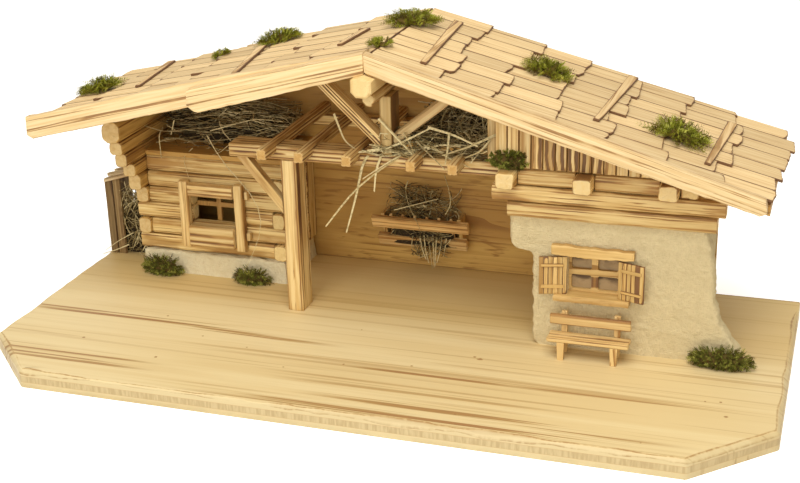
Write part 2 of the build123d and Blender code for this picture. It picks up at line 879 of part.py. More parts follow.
for low, high in side_rows:
    house_left_logs.append(log_y(house_left, left_wall_end, beams_back, back_y, low, high, lower_beam_corner))
    house_right_logs.append(log_y(right_wall_start, house_right, beams_back, back_y, low, high, lower_beam_corner))
right_plate_outline = [
    (right_wall_start, post_top),
    (house_right, post_top),
    (house_right, roof_z(house_right)),
    (right_wall_start, roof_z(right_wall_start)),
]
house_right_logs.append(prism_y(right_plate_outline, beams_back, back_y))
save("house_side_logs", *house_left_logs, *house_right_logs)

# Gable boards: upright boards on the top logs, each sawn off along the roof
gable_start = gable_post_right
gable_front = house_front - gable_setback
gable_end = ridge_x + (ridge_z - top_log_top - gable_least) / right_slope
gable_count = int((gable_end - gable_start) // gable_board_width)
gable_boards = []
for number in range(gable_count):
    x0 = gable_start + number * gable_board_width
    x1 = x0 + gable_board_width - gable_board_gap
    gable_outline = [(x0, top_log_top), (x1, top_log_top), (x1, roof_z(x1)), (x0, roof_z(x0))]
    gable_boards.append(prism_y(gable_outline, gable_front, gable_front + gable_board_thickness))
save("gable_boards", *gable_boards)

# House window: a sash with cross bars on a blind back, a lintel with a hewn lower edge,
# and a chipped sill board that reaches through the wall under the sash
pane_width = (window_width - 2 * sash_rim - sash_bar) / 2
pane_height = (window_height - 2 * sash_rim - sash_bar) / 2
with BuildPart() as window_sash:
    with BuildSketch(Plane.XZ.offset(-house_back)):
        with Locations(window_middle):
            Rectangle(window_width, window_height)
    extrude(amount=pane_backing)
    with BuildSketch(Plane.XZ.offset(-(house_back - pane_backing))):
        with Locations(window_middle):
            Rectangle(window_width, window_height)
            with GridLocations(pane_width + sash_bar, pane_height + sash_bar, 2, 2):
                RectangleRounded(pane_width, pane_height, sash_corner, mode=Mode.SUBTRACT)
    extrude(amount=sash_thickness)
save("window_sash", window_sash.part)
house_window_right = house_window_left + window_width
pin_places = (house_window_left - pin_inset, house_window_right + pin_inset)
pin_y = house_front - pin_stand_off
lintel_left = house_window_left - lintel_overhang
lintel_right = house_window_right + lintel_overhang
lintel_high = house_window_high + lintel_height
with BuildPart() as window_lintel:
    with BuildSketch(Plane.XZ.offset(-house_front)):
        with BuildLine():
            Line((lintel_left, lintel_high), (lintel_right, lintel_high - lintel_sag))
            Line((lintel_right, lintel_high - lintel_sag), (lintel_right, house_window_high + lintel_sag))
            Line((lintel_right, house_window_high + lintel_sag), (pin_places[1], house_window_high))
            Line((pin_places[1], house_window_high), (pin_places[0], house_window_high))
            Line((pin_places[0], house_window_high), (lintel_left, house_window_high + lintel_sag))
            Line((lintel_left, house_window_high + lintel_sag), (lintel_left, lintel_high))
        make_face()
    extrude(amount=lintel_thickness)
    with BuildSketch(Plane.XY.offset(house_window_high - lintel_sag)):
        with Locations(*[(place, pin_y) for place in pin_places]):
            Circle(pin_radius)
    extrude(amount=lintel_sag + pin_depth, mode=Mode.SUBTRACT)
save("window_lintel", window_lintel.part)
sill_left = house_window_left - sill_overhang
sill_right = house_window_right + sill_overhang
house_sill_front = house_front - sill_depth
with BuildPart() as window_sill:
    with BuildSketch(Plane.YZ.offset(sill_left)):
        with BuildLine():
            Polyline(
                (house_front, house_window_low),
                (house_sill_front, house_window_low),
                (house_sill_front, house_window_low - sill_chip),
                (house_sill_front + sill_chip, sill_low),
                (house_front, sill_low),
                close=True,
            )
        make_face()
    extrude(amount=sill_right - sill_left)
    with BuildSketch(Plane.XY.offset(sill_low)):
        with Locations((window_middle[0], (house_front + house_back) / 2)):
            Rectangle(window_width, plaster_thickness)
    extrude(amount=sill_height)
    with BuildSketch(Plane.XY.offset(house_window_low - pin_depth)):
        with Locations(*[(place, pin_y) for place in pin_places]):
            Circle(pin_radius)
    extrude(amount=pin_depth, mode=Mode.SUBTRACT)
save("window_sill", window_sill.part)

# Shutters: grooved leaves on wire pins between sill and lintel, with two battens each
leaf_low = house_window_low + leaf_clearance
leaf_high = house_window_high - leaf_clearance
leaf_width = window_width / 2 + pin_inset - leaf_gap
slat_width = leaf_width / leaf_slats
batten_levels = (leaf_low + leaf_batten_margin, leaf_high - leaf_batten_margin - leaf_batten_height)


def leaf_plane(place, side, angle, height):
    """Plan plane of a shutter at its pin: local X runs from the pin to the leaf's free edge."""
    turn = radians(angle)
    return Plane(origin=(place, pin_y, height), x_dir=(side * cos(turn), -sin(turn), 0), z_dir=(0, 0, 1))


def shutter_leaf(place, side, angle):
    """Leaf of upright slats with a round hinge edge bored for the pin."""
    with BuildPart() as leaf:
        with BuildSketch(leaf_plane(place, side, angle, leaf_low)):
            with Locations((leaf_width / 2, 0)):
                Rectangle(leaf_width, leaf_thickness)
            Circle(leaf_thickness / 2)
            Circle(pin_radius + pin_play, mode=Mode.SUBTRACT)
            for slat in range(1, leaf_slats):
                with Locations((slat * slat_width, leaf_thickness / 2), (slat * slat_width, -leaf_thickness / 2)):
                    Rectangle(slat_groove, slat_groove, mode=Mode.SUBTRACT)
        extrude(amount=leaf_high - leaf_low)
    return leaf.part


def shutter_battens(place, side, angle):
    """Two battens across the face that shows when the shutter is open."""
    battens = []
    face = side * leaf_thickness / 2
    for level in batten_levels:
        outline = [
            (leaf_batten_inset, face),
            (leaf_width - leaf_batten_inset, face),
            (leaf_width - leaf_batten_inset, face + side * leaf_batten_thickness),
            (leaf_batten_inset, face + side * leaf_batten_thickness),
        ]
        with BuildPart() as batten:
            with BuildSketch(leaf_plane(place, side, angle, level)):
                Polygon(*outline, align=None)
            extrude(amount=leaf_batten_height)
        battens.append(batten.part)
    return battens


save("left_shutter", shutter_leaf(pin_places[0], 1, left_open_angle))
save("left_shutter_battens", *shutter_battens(pin_places[0], 1, left_open_angle))
save("right_shutter", shutter_leaf(pin_places[1], -1, right_open_angle))
save("right_shutter_battens", *shutter_battens(pin_places[1], -1, right_open_angle))
pins = []
for place in pin_places:
    with BuildPart() as pin:
        with BuildSketch(Plane.XY.offset(house_window_low - pin_depth)):
            with Locations((place, pin_y)):
                Circle(pin_radius)
        extrude(amount=window_height + 2 * pin_depth)
    pins.append(pin.part)
save("shutter_pins", *pins)

# Bench: two seat slats on tapered front legs and rear posts, with a back slat on the posts
bench_middle = house_left + bench_place
bench_left = bench_middle - bench_length / 2
bench_right = bench_middle + bench_length / 2
bench_post_back = house_front - bench_gap
bench_post_front = bench_post_back - bench_post_thickness
seat_low = floor_z + bench_seat_height
seat_high = seat_low + bench_slat_thickness
seat_slats = []
for number in range(2):
    y1 = bench_post_front - number * (bench_slat_width + bench_slat_gap)
    seat_slats.append(board(bench_left, bench_right, y1 - bench_slat_width, y1, seat_low, seat_high))
leg_front = bench_post_front - 2 * bench_slat_width - bench_slat_gap
legs = []
bench_posts = []
for leg_middle in (bench_left + bench_leg_inset, bench_right - bench_leg_inset):
    leg_outline = [
        (leg_middle - bench_leg_foot / 2, floor_z),
        (leg_middle + bench_leg_foot / 2, floor_z),
        (leg_middle + bench_leg_width / 2, seat_low),
        (leg_middle - bench_leg_width / 2, seat_low),
    ]
    legs.append(prism_y(leg_outline, leg_front, leg_front + bench_leg_depth))
    post_x = leg_middle - bench_post_width / 2
    post_end = post_x + bench_post_width
    bench_posts.append(
        board(post_x, post_end, bench_post_front, bench_post_back, floor_z, floor_z + bench_post_height)
    )
save("bench_legs", *legs, *bench_posts)
back_high = floor_z + bench_post_height - bench_back_drop
back_front = bench_post_front - bench_slat_thickness
back_slat = board(bench_left, bench_right, back_front, bench_post_front, back_high - bench_back_height, back_high)
save("bench_slats", *seat_slats, back_slat)

# Hayrack: two end brackets on the back wall, and two slats with rungs behind them on the sloping front
rack_middle = (hut_right + house_left) / 2 - rack_left_shift
rack_low = floor_z + rack_lift
rack_high = rack_low + rack_height
rack_bottom_y = back_y - rack_foot
rack_top_y = rack_bottom_y - rack_lean
rack_tilt = atan(rack_lean / rack_height)
rack_up = (-sin(rack_tilt), cos(rack_tilt))
rack_out = (-cos(rack_tilt), -sin(rack_tilt))
rack_face = rack_height / cos(rack_tilt)


def rack_section(low, high, near, far):
    """Outline in Y and Z of a bar on the rack's sloping front: span along the slope, then depth out from it."""
    corners = ((low, near), (high, near), (high, far), (low, far))
    return [
        (
            rack_bottom_y + along * rack_up[0] + depth * rack_out[0],
            rack_low + along * rack_up[1] + depth * rack_out[1],
        )
        for along, depth in corners
    ]


bracket_outline = [(back_y, rack_low), (back_y, rack_high), (rack_top_y, rack_high), (rack_bottom_y, rack_low)]
brackets = []
for bracket_x in (rack_middle - rack_bracket_gap / 2, rack_middle + rack_bracket_gap / 2):
    brackets.append(
        prism_x(bracket_outline, bracket_x - rack_bracket_width / 2, bracket_x + rack_bracket_width / 2)
    )
save("rack_brackets", *brackets)
rack_left = rack_middle - rack_length / 2
rack_right = rack_middle + rack_length / 2
upper_low = rack_face - rack_slat_margin - rack_slat_height
upper_slat = rack_section(upper_low, upper_low + rack_slat_height, 0, rack_slat_thickness)
lower_high = rack_slat_margin + rack_slat_height
lower_slat = rack_section(rack_slat_margin, lower_high, 0, rack_slat_thickness)
lower_left = rack_left + rack_lower_short / 2
lower_right = rack_right - rack_lower_short / 2
save("rack_slats", prism_x(upper_slat, rack_left, rack_right), prism_x(lower_slat, lower_left, lower_right))
rung_outline = rack_section(rack_slat_margin, rack_face - rack_slat_margin, -rack_rung_depth, 0)
rung_span = rack_bracket_gap - rack_bracket_width
rung_pitch = rung_span / rack_rungs
rungs = []
for number in range(rack_rungs):
    rung_x = rack_middle - rung_span / 2 + (number + 1 / 2) * rung_pitch
    rungs.append(prism_x(rung_outline, rung_x - rack_rung_width / 2, rung_x + rack_rung_width / 2))
save("rack_rungs", *rungs)

# Roof decks: two boards mitred at the ridge
right_deck_outline = [
    (ridge_x, ridge_z),
    (right_eave, roof_z(right_eave)),
    (right_eave, roof_z(right_eave) + deck_thickness / cos(right_angle)),
    (ridge_x, ridge_z + deck_thickness / cos(right_angle)),
]
left_deck_outline = [
    (ridge_x, ridge_z),
    (left_eave, roof_z(left_eave)),
    (left_eave, roof_z(left_eave) + deck_thickness / cos(left_angle)),
    (ridge_x, ridge_z + deck_thickness / cos(left_angle)),
]
save("right_roof_deck", prism_y(right_deck_outline, right_deck_front, deck_back))
save("left_roof_deck", prism_y(left_deck_outline, left_deck_front, deck_back))

# Bargeboards: the right one and the left inner one meet at the ridge; the left outer one lies behind


def barge_low(x):
    """Lower edge of a bargeboard."""
    return roof_z(x) - barge_drop


def bargeboard(end, y0, y1, spread, end_cut):
    """Bargeboard from the ridge, wider by spread at its end, with a sloping end cut and grooves in its face."""
    slope_side = 1 if end > ridge_x else -1
    cut = end - slope_side * end_cut
    cut_share = (cut - ridge_x) / (end - ridge_x)
    outline = [
        (ridge_x, ridge_z - barge_drop),
        (cut, barge_low(cut) - cut_share * spread),
        (end, barge_low(end) - spread + end_cut),
        (end, barge_low(end) + barge_height),
        (ridge_x, ridge_z - barge_drop + barge_height),
    ]
    with BuildPart() as barge:
        with BuildSketch(Plane.XZ.offset(-y1)):
            Polygon(*outline, align=None)
        extrude(amount=y1 - y0)
        with BuildSketch(Plane.XZ.offset(-(y0 + groove_depth))):
            for share in barge_groove_shares:
                lift = share * barge_height
                groove = [
                    (ridge_x, ridge_z - barge_drop + lift),
                    (cut, barge_low(cut) + lift),
                    (cut, barge_low(cut) + lift + barge_groove),
                    (ridge_x, ridge_z - barge_drop + lift + barge_groove),
                ]
                Polygon(*groove, align=None)
        extrude(amount=groove_depth, mode=Mode.SUBTRACT)
    return barge.part


inner_end = ridge_x - inner_barge_length
right_end = right_eave - right_barge_short
right_barge = bargeboard(right_end, barge_front, right_deck_front, -right_barge_taper, barge_end_cut)
save("right_bargeboard", right_barge)
inner_barge = bargeboard(inner_end, barge_front, right_deck_front, inner_barge_spread, inner_end_cut)
outer_end = left_eave - outer_barge_reach
outer_start = ridge_x - outer_barge_start
outer_cut = outer_end + barge_end_cut
outer_outline = [
    (ridge_x, ridge_z - barge_drop),
    (outer_cut, barge_low(outer_cut)),
    (outer_end, barge_low(outer_end) + barge_end_cut),
    (outer_end, barge_low(outer_end) + barge_height + outer_barge_rise),
    (outer_start, barge_low(outer_start) + barge_height + outer_barge_rise),
    (outer_start, barge_low(outer_start) + barge_height),
    (ridge_x, ridge_z - barge_drop + barge_height),
]
save("left_bargeboards", inner_barge, prism_y(outer_outline, right_deck_front, left_deck_front))

# Shingles: thin split boards in lapped courses, each course tilted so that it lies on the one below


def slope_plane(side):
    """Top face of a deck: origin at the ridge in the plane y = 0, local X down the slope."""
    angle = right_angle if side > 0 else left_angle
    rise = deck_thickness / cos(angle)
    return Plane(
        origin=(ridge_x, 0, ridge_z + rise),
        x_dir=(side * cos(angle), 0, -sin(angle)),
        z_dir=(side * sin(angle), 0, cos(angle)),
    )


def course_exposure(side):
    """Visible length of one course, so that the last one reaches past the eave."""
    run = right_eave - ridge_x if side > 0 else ridge_x - left_eave
    angle = right_angle if side > 0 else left_angle
    return (run / cos(angle) + shingle_eave_reach - shingle_lap_length) / shingle_courses


def course_plane(side, course):
    """Underside of a course, tilted about its head by the thickness of one shingle per exposure."""
    exposure = course_exposure(side)
    tilt = degrees(asin(shingle_thickness / exposure))
    head = slope_plane(side) * Pos(course * exposure, 0, 0) * Rot(0, -tilt, 0)
    return Plane(head)


def shingle(side, course, strip, y0, y1):
    """One shingle with an uneven lower end."""
    length = course_exposure(side) + shingle_lap_length
    pick = course * len(skew_shares) + strip * 3
    length += stagger_shares[pick % len(stagger_shares)] * shingle_stagger
    skew = skew_shares[(pick + course) % len(skew_shares)] * shingle_notch
    middle = y0 + (y1 - y0) * (1 + skew_shares[pick % len(skew_shares)]) / 2
    outline = [
        (0, side * y0),
        (length + skew, side * y0),
        (length - skew, side * middle),
        (length - skew - shingle_notch / 2, side * y1),
        (0, side * y1),
    ]
    with BuildPart() as slab:
        with BuildSketch(course_plane(side, course)):
            Polygon(*outline, align=None)
        extrude(amount=shingle_thickness)
    return slab.part


def shingled_slope(side):
    """All courses of one slope, with the joints of each course between those of the next."""
    start = right_deck_front if side > 0 else left_deck_front
    depth = shingle_back - start
    slabs = []
    for course in range(shingle_courses):
        widths = strip_width_shares[course % 2]
        y0 = start
        for strip, share in enumerate(widths):
            y1 = y0 + share * depth
            slabs.append(shingle(side, course, strip, y0 + shingle_side_gap / 2, y1 - shingle_side_gap / 2))
            y0 = y1
    return slabs


save("right_shingles", *shingled_slope(1))
save("left_shingles", *shingled_slope(-1))


def roof_batten(side, course, place_share, skew_share, start_share, end_share):
    """Tapered strip lying askew across the shingles of one course."""
    start = right_deck_front if side > 0 else left_deck_front
    depth = shingle_back - start
    y0 = start + start_share * depth
    y1 = start + end_share * depth
    place = shingle_lap_length + place_share * course_exposure(side)
    skew = skew_share * course_exposure(side)
    outline = [
        (place, side * y0),
        (place + batten_narrow, side * y0),
        (place + skew + batten_wide, side * y1),
        (place + skew, side * y1),
    ]
    with BuildPart() as strip:
        with BuildSketch(course_plane(side, course).offset(shingle_thickness)):
            Polygon(*outline, align=None)
        extrude(amount=batten_thickness)
    return strip.part


right_battens = zip(
    right_batten_courses,
    right_batten_place_shares,
    right_batten_skew_shares,
    right_batten_start_shares,
    right_batten_end_shares,
)
left_battens = zip(
    left_batten_courses,
    left_batten_place_shares,
    left_batten_skew_shares,
    left_batten_start_shares,
    left_batten_end_shares,
)
battens = [roof_batten(1, *places) for places in right_battens]
battens += [roof_batten(-1, *places) for places in left_battens]
save("roof_battens", *battens)

# Moss: tufts stuck on the shingles, on the beam end and on the ground by the walls
roof_tufts = []
right_tufts = zip(right_tuft_course_shares, right_tuft_depth_shares, right_tuft_size_shares)
left_tufts = zip(left_tuft_course_shares, left_tuft_depth_shares, left_tuft_size_shares)
for side, tufts in ((1, right_tufts), (-1, left_tufts)):
    start = right_deck_front if side > 0 else left_deck_front
    exposure = course_exposure(side)
    reach = exposure * shingle_courses
    tail = exposure + shingle_lap_length + shingle_stagger + shingle_notch
    tail_height = shingle_thickness * (1 + tail / exposure)
    for along_share, depth_share, size_share in tufts:
        length = roof_tuft_length * size_share
        width = roof_tuft_width * size_share
        place_y = start + depth_share * (shingle_back - start)
        lift = slope_plane(side).offset(tail_height + soft_gap)
        spot = Plane(lift * Pos(along_share * reach, side * place_y, 0))
        roof_tufts.append(heap(spot, length, width, roof_tuft_height * size_share))
ridge_top = ridge_z + (deck_thickness + shingle_thickness) / cos(right_angle) + soft_gap
for depth_share, size_share in zip(ridge_tuft_depth_shares, ridge_tuft_size_shares):
    place_y = right_deck_front + depth_share * (shingle_back - right_deck_front)
    spot = Plane.XY.offset(ridge_top) * Pos(ridge_x, place_y, 0)
    length = roof_tuft_length * size_share
    width = roof_tuft_width * size_share
    roof_tufts.append(heap(Plane(spot), length, width, roof_tuft_height * size_share))
save("roof_moss", *roof_tufts)
ground_tufts = []
hut_tuft_y = plinth_front - ground_tuft_gap - ground_tuft_width
for place_share, size_share in zip(hut_tuft_place_shares, hut_tuft_size_shares):
    spot = Plane.XY.offset(floor_z) * Pos(hut_left + place_share * hut_width, hut_tuft_y, 0)
    ground_tufts.append(
        heap(Plane(spot), ground_tuft_length * size_share, ground_tuft_width, ground_tuft_height * size_share)
    )
house_tuft_y = house_front - ground_tuft_gap - ground_tuft_width
spot = Plane.XY.offset(floor_z) * Pos(house_right + house_tuft_place, house_tuft_y, 0)
ground_tufts.append(
    heap(Plane(spot), ground_tuft_length * house_tuft_size_share, ground_tuft_width, ground_tuft_height)
)
save("ground_moss", *ground_tufts)
beam_tuft_y = gable_front - soft_gap - beam_tuft_width
spot = Plane.XY.offset(top_log_top) * Pos(joist_centres[0], beam_tuft_y, soft_gap)
save("beam_moss", heap(Plane(spot), beam_tuft_length, beam_tuft_width, beam_tuft_height))

# Hay: a heap on the hut's ceiling, one on the loft joists, one in the lean-to and one in the rack
hut_hay_left = ceiling_left + hut_hay_margin
hut_hay_right = hut_right - hut_hay_margin
hut_hay_low = ceiling_top + soft_gap
hut_hay_back = back_y - hut_hay_margin
hut_hay_depth = hut_hay_back - hut_front - hut_hay_margin
hut_hay_outline = [
    (hut_hay_back - hut_hay_depth, hut_hay_low),
    (hut_hay_back, hut_hay_low),
    (hut_hay_back, hut_hay_low + hut_hay_height),
    (hut_hay_back - hay_slope_share * hut_hay_depth, hut_hay_low + hay_slope_share * hut_hay_height),
]
save("hut_hay", prism_x(hut_hay_outline, hut_hay_left, hut_hay_right))
loft_hay_left = king_right + loft_hay_left_gap
loft_hay_front = frame_back + loft_hay_back
loft_hay_low = joist_top + soft_gap
loft_hay_outline = [
    (loft_hay_front, loft_hay_low),
    (loft_hay_front + loft_hay_depth, loft_hay_low),
    (loft_hay_front + hay_slope_share * loft_hay_depth, loft_hay_low + loft_hay_height),
    (loft_hay_front + (1 - hay_slope_share) * loft_hay_depth, loft_hay_low + loft_hay_height),
]
loft_hay_length = loft_hay_share * (gable_post_left - king_right)
save("loft_hay", prism_x(loft_hay_outline, loft_hay_left, loft_hay_left + loft_hay_length))
lean_hay_left = lean_left + lean_plank + lean_hay_margin
lean_hay_right = hut_left - lean_hay_margin
lean_hay_front = lean_back + lean_hay_margin
lean_hay = board(
    lean_hay_left, lean_hay_right, lean_hay_front, back_y - lean_hay_margin, floor_z, floor_z + lean_hay_height
)
save("lean_to_hay", lean_hay)
rack_hay_near = -rack_rung_depth - soft_gap
rack_hay_slope = rack_section(rack_slat_margin, rack_face, rack_hay_near, rack_hay_near)
rack_hay_outline = [
    (back_y - soft_gap, rack_hay_slope[0][1]),
    (back_y - soft_gap, rack_high + rack_hay_rise),
    (rack_hay_slope[1][0], rack_high + rack_hay_rise),
    rack_hay_slope[1],
    rack_hay_slope[0],
]
rack_hay_half = rung_span / 2 - soft_gap
save("rack_hay", prism_x(rack_hay_outline, rack_middle - rack_hay_half, rack_middle + rack_hay_half))
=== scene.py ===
import bpy
import math
import numpy as np
from mathutils import Matrix, Vector
from mathutils.geometry import convex_hull_2d


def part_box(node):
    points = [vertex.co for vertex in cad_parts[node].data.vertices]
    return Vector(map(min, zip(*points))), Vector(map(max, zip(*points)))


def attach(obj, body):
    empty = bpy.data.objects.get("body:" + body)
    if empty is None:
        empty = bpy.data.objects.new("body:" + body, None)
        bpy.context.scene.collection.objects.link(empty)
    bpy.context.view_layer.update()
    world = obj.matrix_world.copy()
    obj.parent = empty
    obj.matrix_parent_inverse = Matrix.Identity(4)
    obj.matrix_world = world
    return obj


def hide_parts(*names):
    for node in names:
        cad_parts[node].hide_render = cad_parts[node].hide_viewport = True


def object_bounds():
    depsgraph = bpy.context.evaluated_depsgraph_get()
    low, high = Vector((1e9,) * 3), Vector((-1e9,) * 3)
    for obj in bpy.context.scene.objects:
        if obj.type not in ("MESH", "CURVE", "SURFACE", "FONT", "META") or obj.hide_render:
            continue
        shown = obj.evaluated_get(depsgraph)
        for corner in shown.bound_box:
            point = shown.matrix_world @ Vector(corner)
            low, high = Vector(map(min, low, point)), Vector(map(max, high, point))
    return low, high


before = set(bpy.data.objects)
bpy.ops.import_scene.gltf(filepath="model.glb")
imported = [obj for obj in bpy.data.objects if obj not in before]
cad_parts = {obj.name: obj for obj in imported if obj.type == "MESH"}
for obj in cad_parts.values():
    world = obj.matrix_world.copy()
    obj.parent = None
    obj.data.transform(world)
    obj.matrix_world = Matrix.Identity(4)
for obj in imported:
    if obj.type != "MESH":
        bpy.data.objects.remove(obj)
cad_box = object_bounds()

# Base board
# A three-layer spruce panel with its front corners sawn off. The top edge is gouged by hand into a wavy
# bevel, and torch and wire brush have left brown streaks and lines along the grain. Painted light warms the
# board inside the stall, and painted shade darkens it along the foot of the back wall and on its sides.
MM = 0.001
base_pitch = 2.6
base_bevel_width = 4.4
base_bevel_drop = 3.4
ply_joints = (6.0, 12.0)
wall_foot_painted_shade = (156.5, 161.0)
painted_bounce_reach = (-30, 70)
base_streaks = [
    (-46, 12, -440, -70, 1.0), (-57, 7, -370, 0, 0.95), (-141, 20, -440, -160, 0.85), (-92, 3, -30, 160, 0.9),
    (-91, 2.2, 110, 370, 0.7), (-120, 28, -130, 260, 0.4), (-155, 14, -80, 350, 0.75),
    (-171, 6, -270, 350, 0.95)]
base_knots = [
    (-28, -15, 1.1), (94, -44, 1.5), (-121, -80, 1.0), (-228, -34, 2.0), (-173, -68, 1.5), (-196, -122, 2.4),
    (-71, -110, 1.3), (-19, -90, 1.6), (-285, -101, 1.8), (43, -77, 1.4), (107, -155, 3.0), (100, -47, 2.6),
    (309, -76, 1.6), (322, -74, 1.8), (329, -99, 2.6), (267, -162, 1.4)]
base_pale = (0.76, 0.61, 0.33, 1)
base_deep = (0.67, 0.50, 0.235, 1)
base_streak = (0.36, 0.19, 0.07, 1)
base_glue = (0.52, 0.33, 0.14, 1)
base_core = (0.55, 0.40, 0.19, 1)
base_painted_bounce = (0.70, 0.47, 0.15, 1)


def node_spots(node):
    """Points of a CAD node's mesh in mm, in the order of the mesh."""
    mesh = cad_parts[node].data
    spots = np.empty(len(mesh.vertices) * 3)
    mesh.vertices.foreach_get("co", spots)
    return np.round(spots.reshape(-1, 3) / MM, 2)


def node_corners(node):
    """Corner points of a CAD node in mm, each once."""
    return np.unique(node_spots(node), axis=0)


def noise(x, y, seed):
    """Smooth noise from -1 to 1: a random number on each whole-number corner of the x, y grid, blended
    between the four corners of a cell by the curve 3t^2 - 2t^3."""
    x, y = np.broadcast_arrays(np.asarray(x, float), np.asarray(y, float))
    column, row = np.floor(x).astype(np.int64), np.floor(y).astype(np.int64)
    across, up = x - column, y - row
    across, up = across * across * (3 - 2 * across), up * up * (3 - 2 * up)

    def corner(i, j):
        mixed = (column + i) * 374761393 + (row + j) * 668265263 + seed * 974634533
        mixed = (mixed ^ (mixed >> 13)) * 1274126177
        return ((mixed ^ (mixed >> 16)) & 65535) / 32767.5 - 1

    low = corner(0, 0) * (1 - across) + corner(1, 0) * across
    high = corner(0, 1) * (1 - across) + corner(1, 1) * across
    return low * (1 - up) + high * up


def ramp(value, start, end):
    """0 before start, 1 past end, and the curve 3t^2 - 2t^3 between them."""
    t = np.clip((value - start) / (end - start), 0, 1)
    return t * t * (3 - 2 * t)


def unit(vectors, guard=0.0):
    """Vectors brought to the length 1. A small guard keeps those without a length from a division by 0."""
    return vectors / (np.linalg.norm(vectors, axis=-1, keepdims=True) + guard)


def hull_ring(spots):
    """Corners of the convex outline round flat points, anticlockwise, without those on a straight side."""
    spots = np.unique(np.round(spots, 2), axis=0)
    ring = spots[convex_hull_2d(spots.tolist())]
    before, after = ring - np.roll(ring, 1, 0), np.roll(ring, -1, 0) - ring
    turn = before[:, 0] * after[:, 1] - before[:, 1] * after[:, 0]
    if turn.sum() < 0:
        ring, turn = ring[::-1], turn[::-1]
    return ring[np.abs(turn) > 0.02]


def rounded_ring(corners, rounding, pitch):
    """Closed outline at even steps. At each corner C it bends by (1-t)^2 A + 2t(1-t) C + t^2 B, where A and B
    lie `rounding` before and after C. Returns points, outward normals and the distance to the nearest
    corner."""
    back, ahead = np.roll(corners, 1, 0) - corners, np.roll(corners, -1, 0) - corners
    back_length = np.linalg.norm(back, axis=1, keepdims=True)
    ahead_length = np.linalg.norm(ahead, axis=1, keepdims=True)
    reach = np.minimum(rounding, 0.45 * np.minimum(back_length, ahead_length))
    start, end = corners + back / back_length * reach, corners + ahead / ahead_length * reach
    t = np.linspace(0, 1, 5)[None, :, None]
    bend = (1 - t) ** 2 * start[:, None] + 2 * t * (1 - t) * corners[:, None] + t ** 2 * end[:, None]
    path = np.vstack((bend.reshape(-1, 2), bend[0, :1]))
    run = np.r_[0, np.cumsum(np.linalg.norm(np.diff(path, axis=0), axis=1))]
    at = np.linspace(0, run[-1], max(20, int(round(run[-1] / pitch))), endpoint=False)
    points = np.stack([np.interp(at, run, path[:, i]) for i in (0, 1)], 1)
    along = unit(np.roll(points, -1, 0) - np.roll(points, 1, 0))
    gap = np.abs(at[:, None] - run[2:-1:5][None])
    rim = np.minimum(gap, run[-1] - gap).min(1)
    return points, np.stack((along[:, 1], -along[:, 0]), 1), rim


def closed_tube(rings, **marks):
    """Skin over rings of points (rings, points round, 3): ring i joins ring i + 1 by quads, and each end
    closes on the middle of its last ring by a fan. A mark is a value for each point, and a middle gets its
    ring's mean."""
    count, around = rings.shape[:2]
    ids = np.arange(count * around).reshape(count, around)
    turned = np.roll(ids, -1, 1)
    quads = np.stack((ids[:-1], turned[:-1], turned[1:], ids[1:]), -1).reshape(-1, 4)
    low, high = np.full(around, ids.size), np.full(around, ids.size + 1)
    tris = np.vstack((np.stack((turned[0], ids[0], low), 1), np.stack((ids[-1], turned[-1], high), 1)))

    def flat(values):
        ends = np.stack((values[0].mean(0), values[-1].mean(0)))
        return np.concatenate((values.reshape((-1,) + values.shape[2:]), ends))

    marks = {mark: flat(values) for mark, values in marks.items()}
    return {"points": flat(rings), "quads": quads, "tris": tris, "marks": marks}


def new_object(name, data):
    """An object made of a mesh, a lamp or a camera, put in the scene."""
    made = bpy.data.objects.new(name, data)
    bpy.context.scene.collection.objects.link(made)
    return made


def make_piece(name, skins, finish, slot, *nodes, body="stable", sharp=42):
    """One object from several skins in mm: their points and faces are joined into one mesh, each mark becomes
    an attribute of the points, and the piece rides on its body in place of the CAD nodes."""
    shift = np.cumsum([0] + [len(s["points"]) for s in skins])
    points = np.vstack([s["points"] for s in skins]) * MM
    quads = np.vstack([s["quads"] + n for s, n in zip(skins, shift)])
    tris = np.vstack([s["tris"] + n for s, n in zip(skins, shift)])
    mesh = bpy.data.meshes.new(name)
    mesh.vertices.add(len(points))
    mesh.vertices.foreach_set("co", points.ravel())
    mesh.loops.add(quads.size + tris.size)
    mesh.loops.foreach_set("vertex_index", np.concatenate((quads.ravel(), tris.ravel())).astype(np.int32))
    starts = np.concatenate((np.arange(len(quads)) * 4, quads.size + np.arange(len(tris)) * 3))
    mesh.polygons.add(len(starts))
    mesh.polygons.foreach_set("loop_start", starts.astype(np.int32))
    mesh.polygons.foreach_set("use_smooth", np.ones(len(starts), bool))
    mesh.update(calc_edges=True)
    mesh.validate()
    mesh.set_sharp_from_angle(angle=math.radians(sharp))
    for mark in skins[0]["marks"]:
        values = np.concatenate([s["marks"][mark] for s in skins])
        kind, field = ("FLOAT", "value") if values.ndim == 1 else ("FLOAT_VECTOR", "vector")
        stored = mesh.attributes.new(mark, kind, "POINT").data
        stored.foreach_set(field, values.astype(np.float32).ravel())
    mesh.materials.append(finish)
    piece = new_object(name, mesh)
    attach(piece, body)
    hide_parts(*nodes)


def feed(node, inputs):
    """Links or sets the inputs of a shader node, each from a socket or a value."""
    for key, value in inputs.items():
        if isinstance(value, bpy.types.NodeSocket):
            node.id_data.links.new(value, node.inputs[key])
        else:
            node.inputs[key].default_value = value
    return node


def add(tree, kind, inputs, **settings):
    """A new shader node with its settings and inputs."""
    made = tree.nodes.new("ShaderNode" + kind)
    for key, value in settings.items():
        setattr(made, key, value)
    return feed(made, inputs)


def own_place(tree):
    """The place on the piece, in metres of the shared frame."""
    return add(tree, "TexCoord", {}).outputs["Object"]


def carried(tree, mark, output="Fac"):
    """A mark that the skin carries at its points."""
    return add(tree, "Attribute", {}, attribute_name=mark).outputs[output]


def maths(operation, *values):
    """One step of arithmetic on one or two values, of which the first is a socket."""
    return add(values[0].id_data, "Math", dict(enumerate(values)), operation=operation).outputs[0]


